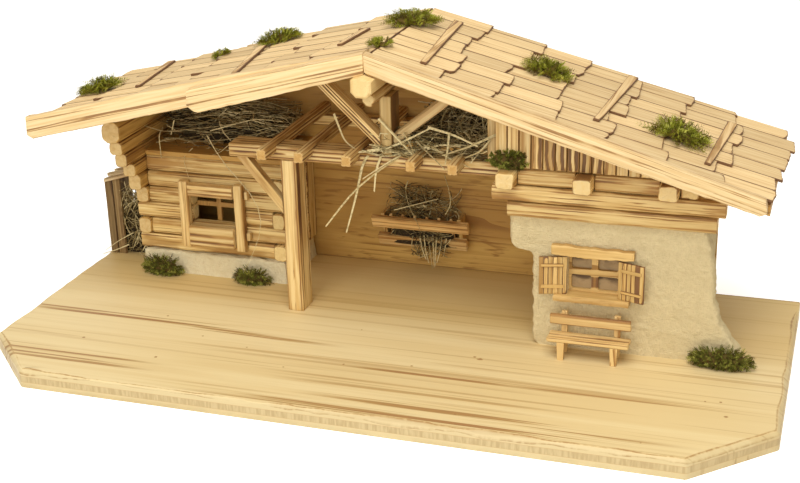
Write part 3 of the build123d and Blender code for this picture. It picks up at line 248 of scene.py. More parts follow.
def times(first, second):
    """Product of two values."""
    return maths("MULTIPLY", first, second)


def brighten(colour, value):
    """A colour times a value."""
    return add(colour.id_data, "HueSaturation", {"Color": colour, "Value": value}).outputs[0]


def blend(share, first, second):
    """Colour that goes from the first to the second as share goes from 0 to 1."""
    return add(share.id_data, "Mix", {0: share, 6: first, 7: second}, data_type="RGBA").outputs[2]


def between(value, start, end, low=0.0, high=1.0):
    """A value taken from start to end and put smoothly between low and high."""
    sockets = {"Value": value, "From Min": start, "From Max": end, "To Min": low, "To Max": high}
    return add(value.id_data, "MapRange", sockets, interpolation_type="SMOOTHSTEP").outputs[0]


def past(place, edge, start, end, low=0.0, high=1.0):
    """A value from low to high, as a place in metres goes from start to end, in mm past an edge."""
    return between(place, (edge + start) * MM, (edge + end) * MM, low, high)


def grain_noise(coordinates, scale, detail=4.0, distortion=0.0):
    """Noise on coordinates stretched by a scale for each axis, in cycles per metre."""
    tree = coordinates.id_data
    stretched = add(tree, "Mapping", {"Vector": coordinates, "Scale": scale}).outputs[0]
    sockets = {"Vector": stretched, "Scale": 1.0, "Detail": detail, "Distortion": distortion}
    return add(tree, "TexNoise", sockets).outputs["Fac"]


def ring_lines(coordinates, scale, count):
    """Growth rings, 0 to 1: slow noise times a count, of which the part after the point rises and then drops
    at once, as late wood darkens towards the edge of its ring."""
    slow = grain_noise(coordinates, scale, 1.0)
    return maths("FRACT", times(slow, count))


def near(value, centre, half):
    """1 where the value is close to the centre, and 0 past the half width."""
    off = maths("ABSOLUTE", maths("SUBTRACT", value, centre))
    return between(off, 0.3 * half, half, 1.0, 0.0)


def darken_brown(share, colour, deep, burnt):
    """Wood darkened as share goes from 0 to 1, by the torch and, along the foot of the back wall, by painted
    shade: from its colour to a warm brown made from the deep colour, and on to the burnt one."""
    toast = (0.62 * deep[0], 0.5 * deep[1], 0.36 * deep[2], 1)
    colour = blend(between(share, 0.0, 0.6), colour, toast)
    return blend(between(share, 0.45, 1.0), colour, burnt)


def new_finish(name):
    """An empty node material and its shader."""
    finish = bpy.data.materials.new(name)
    finish.use_nodes = True
    tree = finish.node_tree
    return finish, tree, tree.nodes["Principled BSDF"]


def bump(height, strength, distance):
    """Normal bent by a height from 0 to 1 that stands for a distance in metres."""
    sockets = {"Height": height, "Strength": strength, "Distance": distance}
    return add(height.id_data, "Bump", sockets).outputs[0]


base_spots = node_corners("base_board")
base_top = base_spots[:, 2].max()
base_finish, tree, shader = new_finish("base_spruce")
spot = own_place(tree)
place = add(tree, "SeparateXYZ", {0: spot}).outputs
figure = grain_noise(spot, (1.6, 30, 40), 3, 0.6)
fibre = grain_noise(spot, (16, 420, 300), 4)
hair = between(grain_noise(spot, (2.5, 230, 25), 2), 0.53, 0.64)
burnt_line = between(grain_noise(spot, (3.0, 210, 25), 3), 0.46, 0.6)
colour = blend(between(figure, 0.36, 0.68, 0.0, 0.7), base_pale, base_deep)
colour = blend(between(fibre, 0.45, 0.8, 0.0, 0.35), colour, base_deep)
hairs = times(hair, between(figure, 0.4, 0.6, 0.1, 0.32))
colour = darken_brown(hairs, colour, base_deep, base_streak)
for level, half, start, end, amount in base_streaks:
    burn = times(near(place["Y"], level * MM, half * MM),
                 near(place["X"], (start + end) / 2 * MM, (end - start) / 2 * MM))
    colour = darken_brown(times(times(burn, burnt_line), amount), colour, base_deep, base_streak)
for x, y, size in base_knots:
    knot = (x * MM, y * MM, base_top * MM)
    far = add(tree, "VectorMath", {0: spot, 1: knot}, operation="DISTANCE").outputs["Value"]
    far = times(far, between(fibre, 0.3, 0.7, 0.6, 1.5))
    dark = between(far, 0.3 * size * MM, size * MM, 0.85, 0.0)
    colour = darken_brown(dark, colour, base_deep, base_streak)
# Painted light: the back of the board, inside the stall, is warmed as if lit by light thrown back from the
# wooden walls.
colour = blend(past(place["Y"], 0, *painted_bounce_reach, 0.0, 0.48), colour, base_painted_bounce)
# Painted shade: the board darkens in the crease along the foot of the back wall.
colour = darken_brown(past(place["Y"], 0, *wall_foot_painted_shade, 0.0, 0.6), colour, base_deep, base_streak)
line = grain_noise(spot, (230, 230, 60), 2)
gouge = times(carried(tree, "gouge"), between(line, 0.36, 0.6, 0.55, 1.0))
colour = darken_brown(gouge, colour, base_deep, base_streak)
core = maths("SUBTRACT", *(past(place["Z"], joint, -0.2, 0.2) for joint in ply_joints))
hatch = grain_noise(spot, (420, 420, 50), 3)
colour = blend(times(core, between(hatch, 0.35, 0.65, 0.35, 1.0)), colour, base_core)
# Painted shade: the sides of the board, below its top edge, are darkened to 0.86.
colour = brighten(colour, past(place["Z"], base_top, -1.2, -0.2, 0.86, 1.0))
colour = blend(carried(tree, "glue_line"), colour, base_glue)
feed(shader, {"Base Color": colour, "Roughness": 0.55, "Normal": bump(fibre, 0.25, 0.0005)})


def base_skin(outline, top):
    """Rings round the sawn outline, from the middle of the underside out to the edge, up the side, over the
    gouged bevel and in to the middle of the top. A ring is outline * scale - normal * inset at its height,
    and the bevel's width and drop follow noise along the edge, fading out at the back."""
    points, normals, _ = rounded_ring(outline, 0.8, base_pitch)
    walk = np.arange(len(points)) * base_pitch
    worked = ramp(-points[:, 1], -150, -120)
    facet = 0.3 + 0.5 * ramp(-normals[:, 1], 0.8, 0.95)
    swell = np.clip(1 + facet * noise(walk / 30, 0, 3) + 0.3 * facet * noise(walk / 9, 0, 4), 0.15, None)
    width = 0.4 + worked * (base_bevel_width * swell - 0.4)
    drop = 0.4 + worked * (base_bevel_drop * swell - 0.4)
    side = 0.5 * worked * (0.5 + 0.5 * noise(walk / 14, 2, 5))
    rows = [(0.02, 0, 0, 0), (0.5, 0, 0, 0), (0.9, 0, 0, 0), (1, 0.8, 0, 0)]
    levels = [0.8] + [joint + step for joint in ply_joints for step in (-0.4, 0, 0.4)]
    rows += [(1, side * 0.4, level, 0) for level in levels]
    rows += [(1, side, top - drop - 0.5, 0.05), (1, side * 0.7 + 0.1, top - drop, 0.6)]
    rows += [(1, width * 0.35, top - drop * 0.62, 0.12), (1, width * 0.7, top - drop * 0.22, 0.1)]
    rows += [(1, width, top - 0.1, 1.0), (1, width + 0.7, top, 0.3), (1, width + 1.8, top, 0)]
    rows += [(scale, 0, top, 0) for scale in (0.93, 0.86, 0.75, 0.6, 0.45, 0.3, 0.15, 0.02)]
    rings, gouges, glue = [], [], []
    for scale, inset, level, burnt in rows:
        flat = points * scale - normals * np.broadcast_to(inset, len(points))[:, None]
        rings.append(np.column_stack((flat, np.broadcast_to(level, len(points)))))
        gouges.append(burnt * worked * (0.6 + 0.4 * noise(walk / 30, 5, 6)))
        at_joint = np.ndim(level) == 0 and level in ply_joints
        glue.append(np.full(len(points), 0.8 if at_joint else 0.0))
    return closed_tube(np.array(rings), gouge=np.array(gouges), glue_line=np.array(glue))


gouged_base = base_skin(hull_ring(base_spots[:, :2]), base_top)
make_piece("base_board_gouged", [gouged_base], base_finish, "spruce_panel", "base_board")

# Back wall, hut ceiling and roof decks
# Sawn spruce panels, nailed on and left as they came from the mill, only warmed by the torch. They stay the
# CAD panels, with their edges eased. The wall's figure runs level across the stall, and painted shade
# darkens it towards the roof.
panel_pale = (0.62, 0.38, 0.095, 1)
panel_deep = (0.44, 0.235, 0.048, 1)
panel_burnt = (0.26, 0.13, 0.045, 1)
painted_shade_levels = (90, 200)
weld_gap = 0.01
ease_angle = 35
grain_upright = (0, math.pi / 2, 0)
grain_to_back = (0, 0, math.pi / 2)


def finish_node(node, finish, width=0.0):
    """Puts a finish on a CAD node that stays. Where a width in mm is given, modifiers join its triangles and
    round its sharp edges a little, and leave its mesh alone."""
    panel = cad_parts[node]
    panel.data.materials.clear()
    panel.data.materials.append(finish)
    if width:
        panel.modifiers.new("join", "WELD").merge_threshold = weld_gap * MM
        bevel = panel.modifiers.new("eased", "BEVEL")
        bevel.width = width * MM
        bevel.segments = 2
        bevel.limit_method = "ANGLE"
        bevel.angle_limit = math.radians(ease_angle)


def sawn_panel(name, pale, deep, burnt, turn=(0, 0, 0), amount=0.5, rings=36):
    """Flat-sawn spruce on object coordinates: bent growth rings and fine fibres, burnt where the torch
    stayed, and short dark flecks. turn in radians lays the grain, which runs along x before it."""
    finish, tree, shader = new_finish(name)
    spot = add(tree, "Mapping", {"Vector": own_place(tree), "Rotation": turn}).outputs[0]
    ring = ring_lines(spot, (0.7, 15, 15), rings)
    fibre = grain_noise(spot, (22, 700, 700), 4)
    cloud = grain_noise(spot, (5, 18, 18), 3, 0.6)
    fleck = grain_noise(spot, (40, 300, 300), 2, 0.3)
    patch = grain_noise(spot, (9, 26, 26), 2)
    colour = blend(between(cloud, 0.36, 0.64), pale, deep)
    colour = blend(between(fibre, 0.45, 0.75, 0.0, 0.4), colour, deep)
    colour = blend(between(ring, 0.1, 0.95, 0.0, 0.7 * amount), colour, deep)
    dark = times(between(ring, 0.5, 0.97), between(patch, 0.42, 0.62, 0.15 * amount, amount))
    colour = darken_brown(dark, colour, deep, burnt)
    colour = darken_brown(between(fleck, 0.63, 0.74, 0.0, 0.9 * amount), colour, deep, burnt)
    feed(shader, {"Base Color": colour, "Roughness": between(fibre, 0.2, 0.8, 0.52, 0.75),
                  "Normal": bump(fibre, 0.3, 0.0005)})
    return finish


def coat_under(finish):
    """Nodes, shader and base colour of a finish that gets a further coat, and the place on its piece."""
    tree = finish.node_tree
    shader = tree.nodes["Principled BSDF"]
    return tree, shader, shader.inputs["Base Color"].links[0].from_socket, own_place(tree)


level_panel = sawn_panel("sawn_panel_level", panel_pale, panel_deep, panel_burnt, amount=0.45, rings=24)
tree, shader, colour, spot = coat_under(level_panel)
short = grain_noise(spot, (30, 170, 170), 3, 0.4)
colour = darken_brown(between(short, 0.54, 0.72, 0.0, 0.4), colour, panel_deep, panel_burnt)
level = add(tree, "SeparateXYZ", {0: spot}).outputs["Z"]
# Painted shade: the level panel darkens upwards towards the roof.
feed(shader, {"Base Color": blend(past(level, 0, *painted_shade_levels, 0.0, 0.5), colour, panel_deep)})
deck_panel = sawn_panel("sawn_panel_deck", panel_pale, panel_deep, panel_burnt, grain_to_back)
for node, finish, width in (("back_wall", level_panel, 0.5), ("hut_ceiling", level_panel, 0.4),
                            ("left_roof_deck", deck_panel, 0.5), ("right_roof_deck", deck_panel, 0.5)):
    finish_node(node, finish, width)

# Hut plinth
# Rubble footing under the log hut, rendered by hand with sandy lime plaster. It is trowelled on in lumps, its
# foot spreads on the board and its top edge meets the first logs unevenly. Its plaster is painted lighter
# than that of the house walls, as painted light in the shade of the eave.
plaster_pale = (0.80, 0.665, 0.395, 1)
plaster_shade = (0.65, 0.525, 0.295, 1)
plaster_grit = (0.42, 0.31, 0.14, 1)
footing_painted_light = (0.92, 0.82, 0.56, 1)
plinth_pitch = 1.8
plinth_lump = 1.3


def lime_plaster(name, pale, shade):
    """Sandy lime plaster on object coordinates: cloudy tones, lumps, a fine woven trowel texture and grit, in
    colour and in bump, with painted shade in the hollows between the lumps."""
    finish, tree, shader = new_finish(name)
    spot = own_place(tree)
    cloud = grain_noise(spot, (16, 16, 22), 3)
    strokes = (grain_noise(spot, scale, 2, 0.6) for scale in ((330, 330, 900), (900, 330, 330)))
    weave = maths("ADD", *strokes)
    grit = grain_noise(spot, (1300, 1300, 1300), 3)
    lump = grain_noise(spot, (150, 150, 150), 4)
    colour = blend(between(cloud, 0.4, 0.7, 0.0, 0.4), pale, shade)
    # Painted shade: the hollows between the lumps darken.
    colour = blend(between(lump, 0.56, 0.34, 0.0, 0.35), colour, shade)
    colour = blend(between(weave, 0.95, 1.2, 0.0, 0.4), colour, shade)
    colour = blend(between(grit, 0.6, 0.76, 0.0, 0.4), colour, plaster_grit)
    relief = maths("ADD", weave, between(grit, 0.2, 0.8, 0.0, 0.5))
    relief = maths("ADD", times(lump, 3.0), relief)
    feed(shader, {"Base Color": colour, "Roughness": 0.92, "Specular IOR Level": 0.2,
                  "Normal": bump(relief, 0.9, 0.0012)})
    return finish


plaster = lime_plaster("lime_plaster", plaster_pale, plaster_shade)
# Painted light: the footing's plaster is a lighter copy of the wall plaster, making up for the shade under
# the eave.
footing = lime_plaster("footing_plaster_painted_light", footing_painted_light, plaster_pale)


def plaster_lump(x, y, seed):
    """Uneven hand of plaster, 0 to 1: slow swells, lumps and grit, added up as noise of three sizes."""
    swell = noise(x / 19, y / 15, seed) + 0.55 * noise(x / 7.5, y / 6, seed + 1)
    swell = swell + 0.3 * noise(x / 3, y / 2.6, seed + 2)
    return 0.5 + 0.5 * np.clip(swell / 1.4, -1, 1)


def plinth_skin(corners):
    """Rings round the footing: out along the underside, up the flared face and in over the rounded top. The
    face stands back by lumps of plaster, and the top edge rises and falls along the wall."""
    low, high = corners.min(0), corners.max(0)
    foot = np.array([(low[0], low[1]), (high[0], low[1]), (high[0], high[1]), (low[0], high[1])])
    points, normals, _ = rounded_ring(foot, 5, plinth_pitch)
    walk = np.arange(len(points)) * plinth_pitch
    middle = points.mean(0)
    height = high[2] - low[2]
    rise = 1.2 * noise(walk / 23, 0, 12) + 0.8 * noise(walk / 8, 0, 13)
    rows = [(0.05, 0, 0), (0.7, 0, 0)]
    rows += [(1, 0.2 + 2.6 * share ** 0.7, share) for share in np.linspace(0, 0.93, 12)]
    rows += [(1, 3.6, 0.98), (1, 5.2, 1.0), (0.7, 0, 1.0), (0.05, 0, 1.0)]
    rings = []
    for scale, inset, share in rows:
        level = low[2] + share * (height - 1 + rise)
        lump = plinth_lump * plaster_lump(walk, level, 21) * (scale == 1)
        flat = middle + (points - middle) * scale - normals * (inset + lump)[:, None]
        rings.append(np.column_stack((flat, level)))
    return closed_tube(np.array(rings))


plinth = plinth_skin(node_corners("hut_plinth"))
make_piece("hut_plinth_rendered", [plinth], footing, "plaster", "hut_plinth", sharp=70)

# Hut log walls
# Squared spruce logs laid up with butt-and-pass corners, honey coloured from the torch. Wire brushing has cut
# the soft wood back, so the dark late wood shows as lines, and the seams between the logs are burnt brown.
log_pale = (0.83, 0.63, 0.28, 1)
log_deep = (0.69, 0.46, 0.16, 1)
log_burnt = (0.15, 0.065, 0.022, 1)
eave_pale = (0.66, 0.43, 0.13, 1)
eave_deep = (0.50, 0.29, 0.075, 1)
eave_head = (0.68, 0.49, 0.22, 1)
round_points = 100
grain_shift = 400


def node_solids(node):
    """Corner points in mm of each solid of a CAD node. The triangles come solid by solid, and a solid is
    whole once each edge has been met in both directions: a weight for each edge, signed by direction, adds up
    to 0."""
    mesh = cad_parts[node].data
    loops = np.empty(len(mesh.loops), np.int32)
    mesh.loops.foreach_get("vertex_index", loops)
    corners, place = np.unique(node_spots(node), axis=0, return_inverse=True)
    start = place.ravel()[loops].reshape(-1, 3).astype(np.int64)
    end = np.roll(start, -1, 1)
    low, high = np.minimum(start, end), np.maximum(start, end)
    _, edge = np.unique(low * len(corners) + high, return_inverse=True)
    weight = np.random.default_rng(5).integers(1, 1 << 40, edge.max() + 1)[edge].reshape(low.shape)
    total = np.cumsum((np.sign(end - start) * weight).sum(1))
    closed = np.flatnonzero(total == 0) + 1
    return [corners[np.unique(part)] for part in np.split(start, closed)[:len(closed)]]


def new_seed(rng):
    """A seed for noise, from a piece's own random numbers."""
    return int(rng.integers(1, 90000))


def grain_figure(along, across, deep, rng, ring_width):
    """Late wood, 0 to 1: noise on the distance r from a pith outside the piece, r bent by slow noise along
    the grain, kept where it passes a threshold, and faded in patches where the torch passed lightly."""
    seed = new_seed(rng)
    turn, reach = rng.uniform(0, 2 * np.pi), rng.uniform(9, 26)
    r = np.hypot(across - reach * np.cos(turn), deep - reach * np.sin(turn))
    r = r + 1.1 * noise(along / 48, r / 9, seed) + 0.5 * noise(along / 17, r / 5, seed + 1)
    rings = noise(r / ring_width, along / 150, seed + 2)
    patch = noise(along / 55, (across + deep) / 16, seed + 3)
    return ramp(rings, 0.0, 0.4) * (1 - ramp(patch, 0.25, -0.75))


def true_axis(corners, guess):
    """Direction of a timber's long edges: of all the lines between two corners that lie near the guess, the
    one that most others are parallel to, or the guess itself for a round pole."""
    guess = unit(np.asarray(guess, float))
    lines = (corners[None] - corners[:, None]).reshape(-1, 3)
    length = np.linalg.norm(lines, axis=1)
    lines = unit(lines[length > 0.6 * length.max()])
    lines = lines[lines @ guess > 0.97]
    fellows = ((lines @ lines.T) > 0.9999995).sum(1)
    return guess if len(corners) > round_points else lines[np.argmax(fellows)]


def timber_skin(corners, axis, rng, rounding=1.4, pitch=1.15, step=5.0, wave=0.4, brush=0.35, head=0.7,
                ring=3.2, bands=(), burnt=None):
    """A timber: its section, rounded at the corners, is carried along the axis between its two sawn ends. The
    point k of ring i is section(k) - normal(k) * (wave * noise + brush * late wood), and each end draws in by
    a quarter circle of radius head before it closes over the end grain. Marks: grain coordinates, late wood,
    the distance to the nearest edge in mm, one tone for the whole timber, and 1 on the sawn ends. bands adds
    dark grooves, each with the side of the section that it divides, 0 or 1, its place and half width in
    shares of that side, and where wanted the shares of the length that it starts and ends at. burnt is the
    direction of a face that is burnt all over."""
    axis = true_axis(corners, axis)
    side = unit(np.cross((0, 1, 0) if abs(axis[2]) > 0.9 else (0, 0, 1), axis))
    basis = np.stack((side, np.cross(axis, side), axis))
    local = corners @ basis.T
    outline = hull_ring(local[:, :2])
    points, normals, rim = rounded_ring(outline, rounding, pitch)
    gap = np.linalg.norm(local[None, :, :2] - outline[:, None], axis=2)
    ends = []
    for sign in (1, -1):
        face = sign * np.where(gap < 0.1, sign * local[None, :, 2], np.inf).min(1)
        plan = np.column_stack((outline, np.ones(len(outline))))
        if len(corners) > round_points:
            half = sign * (local[:, 2] - local[:, 2].mean()) < 0
            plan, face = np.column_stack((local[half, :2], np.ones(half.sum()))), local[half, 2]
        tilt = np.linalg.lstsq(plan, face, rcond=None)[0]
        over = local[:, 2] - local[:, :2] @ tilt[:2] - tilt[2]
        tilt[2] += over.min() if sign == 1 else over.max()
        ends.append(points @ tilt[:2] + tilt[2])
    length = (ends[1] - ends[0]).mean()
    share = np.linspace(0, 1, max(5, int(length / step)))
    shrink = np.r_[0.3, 0.7, 1, 1, np.ones(len(share)), 1, 1, 0.7, 0.3][:, None, None]
    inset = head * np.r_[1, 1, 1, 0.3, np.zeros(len(share)), 0.3, 1, 1, 1][:, None]
    into = head * np.r_[0, 0, 0, 0.3, 1 - share, 0, 0, 0, 0][:, None]
    out = head * np.r_[0, 0, 0, 0, share, 0.3, 0, 0, 0][:, None]
    share = np.r_[0, 0, 0, 0, share, 1, 1, 1, 1][:, None]
    along = ends[0] * (1 - share) + ends[1] * share + into - out
    walk = np.arange(len(points))[None] * pitch
    figure = grain_figure(along, points[None, :, 0], points[None, :, 1], rng, ring)
    figure = figure * (0.35 if bands else 1.0)
    for number, (way, place, half, *reach) in enumerate(bands):
        u = (points[:, way] - points[:, way].min()) / np.ptp(points[:, way])
        u = u + 0.03 * noise(along / 40, 0, 77)
        patch = ramp(noise(along / 34, 3 * number, new_seed(rng)), -0.95, -0.4)
        low, high = reach or (-1, 2)
        patch = patch * ramp(share, low - 0.1, low + 0.1) * ramp(share, high + 0.1, high - 0.1)
        figure = np.maximum(figure, patch * ramp(np.abs(u - place), 1.15 * half, 0.6 * half))
    if burnt is not None:
        figure = np.maximum(figure, ramp(normals @ (basis[:2] @ np.asarray(burnt, float)), 0.75, 0.95)[None])
    seed = new_seed(rng)
    hew = 0.5 + 0.5 * noise(along / 26, walk / 6.5, seed) + 0.25 * noise(along / 9, walk / 4, seed + 1)
    wear = inset + wave * hew + brush * figure
    middle = points.mean(0)
    flat = middle + shrink * (points - middle)[None] - normals[None] * wear[:, :, None] * shrink
    capped = (share <= 0) | (share >= 1)
    along = along + np.where(capped & (into == 0) & (out == 0), 0.3 * noise(walk / 3, share * 9, seed + 2), 0)
    sawn = capped & (inset >= head)
    check = ramp(noise(flat[:, :, 0] / 1.6, flat[:, :, 1] / 1.6, seed + 3), 0.3, 0.8)
    figure = np.where(sawn, 0.3 * check, figure)
    edge = np.where(inset > 0, np.where(shrink[:, :, 0] < 1, 3.0, 0.5), rim[None])
    offset = rng.uniform(-grain_shift, grain_shift, 2)
    grain = np.concatenate((along[:, :, None], flat + offset), 2) * MM
    place = np.concatenate((flat, along[:, :, None]), 2) @ basis
    tone = np.full(along.shape, rng.uniform(-1, 1))
    sawn = sawn * np.ones(tone.shape)
    return closed_tube(place, grain=grain, late=figure, rim=edge, tone=tone, sawn=sawn)


def torched_wood(name, pale, deep, burnt, late, rim, rim_reach, rough=0.62, line=0.5, rings=26, patchy=0.5,
                 head=None):
    """Torched and brushed spruce that follows each timber's own grain coordinates: fibres between the pale
    and the deep colour, thin brown lines along the grain, late wood and worn edges burnt brown, sawn heads
    plain or of a chipped colour of their own, a tone for each timber, and a fibre bump."""
    finish, tree, shader = new_finish(name)
    grain, sawn, edge = carried(tree, "grain", "Vector"), carried(tree, "sawn"), carried(tree, "rim")
    length = between(sawn, 0.0, 1.0, 1.0, 0.25)
    fibre = grain_noise(grain, (15, 420, 420), 4, 0.3)
    pore = grain_noise(grain, (70, 2300, 2300), 3)
    smoke = grain_noise(grain, (22, 60, 60), 3)
    hair = grain_noise(grain, (5, 20 * rings, 20 * rings), 2)
    colour = blend(times(between(fibre, 0.36, 0.68), length), pale, deep)
    colour = blend(times(between(pore, 0.5, 0.8, 0.0, 0.35), length), colour, deep)
    colour = brighten(colour, between(carried(tree, "tone"), -1.0, 1.0, 0.88, 1.1))
    thin = times(between(hair, 0.54, 0.63), between(smoke, 0.36, 0.6, 0.3 * line, line))
    colour = darken_brown(times(thin, length), colour, deep, burnt)
    dark = times(carried(tree, "late"), between(smoke, 0.3, 0.62, late * (1 - patchy), late))
    colour = darken_brown(dark, colour, deep, burnt)
    worn = maths("ADD", edge, between(smoke, 0.3, 0.7, 0.35, -0.35))
    colour = darken_brown(between(worn, 0.1, rim_reach, rim, 0.0), colour, deep, burnt)
    if head:
        chipped = grain_noise(grain, (120, 230, 230), 4)
        cut = blend(between(chipped, 0.42, 0.7, 0.0, 0.5), head, deep)
        colour = blend(times(sawn, between(edge, 0.6, 1.4, 0.3, 0.95)), colour, cut)
    height = maths("ADD", fibre, between(pore, 0.2, 0.8, 0.0, 0.5))
    feed(shader, {"Base Color": colour, "Normal": bump(height, 0.3, 0.0005),
                  "Roughness": between(fibre, 0.2, 0.8, rough - 0.08, rough + 0.12)})
    return finish


def timbers(node, finish, seed, slot="hewn_timber", body="stable", axis=None, **cut):
    """All the solids of a CAD node as brushed timbers in one piece, along the axis or the longest side."""
    rng = np.random.default_rng(seed)
    skins = []
    for corners in node_solids(node):
        longest = np.eye(3)[np.argmax(np.ptp(corners, axis=0))]
        skins.append(timber_skin(corners, longest if axis is None else axis, rng, **cut))
    make_piece(node + "_brushed", skins, finish, slot, node, body=body)


honey_logs = torched_wood("honey_logs", log_pale, log_deep, log_burnt,
                          late=0.5, rim=0.85, rim_reach=1.2, line=0.65)
eave_logs = torched_wood("eave_logs", eave_pale, eave_deep, log_burnt,
                         late=0.4, rim=0.8, rim_reach=1.1, line=0.35, head=eave_head)
for node, finish, seed in (("hut_front_logs", honey_logs, 11), ("hut_left_logs", eave_logs, 12),
                           ("hut_right_logs", honey_logs, 13), ("eave_purlin", eave_logs, 14)):
    timbers(node, finish, seed, rounding=1.6, wave=0.7, head=0.5, ring=2.2, brush=0.5)

# Hut window
# Two stout posts and two rails pegged on the log wall round the opening, with a thin sawn cross set behind
# them. The faces are deeply brushed, so the burnt late wood runs up the posts in dark bands. The cross is
# coloured dark as painted shade in the opening.
post_pale = (0.80, 0.60, 0.28, 1)
post_deep = (0.66, 0.43, 0.155, 1)
post_burnt = (0.13, 0.055, 0.02, 1)
# Painted shade: the cross is coloured darker for the shade in the window opening.
cross_shade_pale = (0.52, 0.29, 0.07, 1)
cross_shade_deep = (0.38, 0.20, 0.045, 1)
pale_timber = torched_wood("pale_timber", post_pale, post_deep, post_burnt,
                           late=0.85, rim=0.55, rim_reach=1.1)
timbers("hut_window_posts", pale_timber, 21, ring=2.8, brush=0.5)
timbers("hut_window_rails", pale_timber, 22, ring=2.4, brush=0.6, bands=((1, 0.22, 0.07), (1, 0.55, 0.08)))
upright_panel = sawn_panel("sawn_strips_upright", cross_shade_pale, cross_shade_deep, panel_burnt, grain_upright)
finish_node("hut_window_cross", upright_panel, 0.4)

# Lean-to
# Old planks against the hut's gable, brown with weather and nailed to the back wall. Boards split into strips
# lie on a slope as their roof, and the strips curl and end in slants and points where they were broken off.
# The strips are coloured lighter as painted light in the shade of the eave.
splint_slope = (0.956, 0, 0.294)
splint_bend = 4.0
splint_count = 5
splint_break = 11
strip_gap = 0.15
# Painted light: the split strips are coloured lighter to make up for the shade under the eave.
splint_lit_pale = (0.86, 0.69, 0.43, 1)
splint_lit_deep = (0.60, 0.43, 0.22, 1)
weathered_pale = (0.32, 0.21, 0.085, 1)
weathered_deep = (0.20, 0.12, 0.042, 1)
weathered_burnt = (0.06, 0.032, 0.016, 1)
weathered_planks = torched_wood("weathered_planks", weathered_pale, weathered_deep, weathered_burnt,
                                late=0.7, rim=0.6, rim_reach=1.2, rough=0.8)
timbers("lean_to_planks", weathered_planks, 31, "joinery", rounding=0.8, wave=0.5)


def broken_strips(corners, axis, rng, count, reach):
    """A board split along its grain into strips side by side in y. The lower end of each strip is drawn in
    along the axis by a random part of reach on either side, so that it ends in a slant or a point."""
    axis = true_axis(corners, axis)
    normal = np.cross(axis, (0, 1, 0))
    along, across, through = (corners @ np.stack((axis, (0, 1, 0), normal)).T).T
    marks = np.linspace(across.min(), across.max(), count + 1)
    marks[1:-1] += rng.uniform(-1, 1, count - 1)
    strips = []
    for y0, y1 in zip(marks, marks[1:]):
        longest, slant = reach * rng.uniform(0, 1), np.array((1, rng.uniform(0.2, 0.8)))
        ends = along.min() + longest * slant[::rng.choice((1, -1))]
        edges = ((y0 + strip_gap, ends[0]), (y1 - strip_gap, ends[1]))
        strips.append(np.array([a * axis + (0, y, 0) + t * normal for y, low in edges
                                for a in (low, along.max()) for t in (through.min(), through.max())]))
    return strips


rng = np.random.default_rng(32)
split_wood = torched_wood("split_lean_to_wood", splint_lit_pale, splint_lit_deep, weathered_burnt,
                          late=0.5, rim=0.6, rim_reach=0.7, rough=0.8)
splints = []
for corners in node_solids("lean_to_roof"):
    for strip in broken_strips(corners, splint_slope, rng, splint_count, splint_break):
        splint = timber_skin(strip, splint_slope, rng, rounding=0.5, pitch=0.8, wave=0.3, head=0.3)
        run = splint["points"] @ splint_slope
        splint["points"][:, 2] += ramp(run, run.max(), run.min()) ** 2 * rng.uniform(-0.6, 1) * splint_bend
        splints.append(splint)
make_piece("lean_to_roof_split", splints, split_wood, "joinery", "lean_to_roof")

# Stall frame
# Sawn spruce squares: a post under the tie beam, its brace, the loft joists let into the beam, a rear beam,
# and the king post with its struts and purlins above. Torch and brush have left strong dark bands on every
# face. The king post is coloured darker as painted shade.
band_burnt = (0.12, 0.045, 0.016, 1)
# Painted shade: the king post's colours are darker than the other frame timber, for the shade it stands in.
king_shade_pale = (0.62, 0.45, 0.19, 1)
king_shade_deep = (0.50, 0.33, 0.12, 1)
pole_pale = (0.60, 0.44, 0.20, 1)
pole_deep = (0.46, 0.29, 0.115, 1)
joist_head = (0.50, 0.28, 0.075, 1)
banded_timber = torched_wood("banded_timber", post_pale, post_deep, band_burnt,
                             late=1.0, rim=0.5, rim_reach=1.0, line=0.25, patchy=0.2)
joist_timber = torched_wood("joist_timber", post_pale, post_deep, band_burnt,
                            late=1.0, rim=0.6, rim_reach=1.2, line=0.5, head=joist_head)
king_timber = torched_wood("king_timber", king_shade_pale, king_shade_deep, post_burnt,
                           late=0.75, rim=0.0, rim_reach=0.5, line=0.15)
timbers("main_post", banded_timber, 41, rounding=1.2, pitch=0.8, ring=4.2, brush=0.7,
        bands=((0, 0.06, 0.07, 0.45, 1.2), (0, 0.5, 0.015, 0.0, 0.6), (0, 0.88, 0.03),
               (1, 0.24, 0.17, 0.45, 1.2), (1, 0.3, 0.05, 0.1, 0.6), (1, 0.12, 0.03), (1, 0.86, 0.05)))
timbers("tie_beam", banded_timber, 42, rounding=1.0, pitch=0.8, ring=3.6, brush=0.7,
        bands=((1, 0.16, 0.05), (1, 0.45, 0.08), (1, 0.76, 0.07),
               (0, 0.2, 0.05), (0, 0.42, 0.06), (0, 0.68, 0.05)))
timbers("post_brace", pale_timber, 43, axis=(-0.63, 0, 0.77), rounding=1.0, brush=0.5)
timbers("loft_joists", joist_timber, 44, rounding=0.8, pitch=0.9, ring=2.4, brush=0.5,
        bands=((0, 0.14, 0.07), (0, 0.5, 0.06), (1, 0.3, 0.1), (1, 0.65, 0.08)))
timbers("rear_beam", honey_logs, 45)
timbers("king_post", king_timber, 46, rounding=0.8, wave=0.25, ring=4.5, burnt=(1, 0, 0),
        bands=((0, 0.04, 0.03),))
timbers("left_strut", banded_timber, 47, axis=(-0.72, 0, 0.69), rounding=0.6, pitch=0.5, brush=0.9,
        ring=3.5, bands=((1, 0.2, 0.07), (1, 0.48, 0.07), (1, 0.76, 0.07)))
peeled_pole = torched_wood("peeled_pole", pole_pale, pole_deep, post_burnt,
                           late=0.3, rim=0.0, rim_reach=0.5, line=0.3)
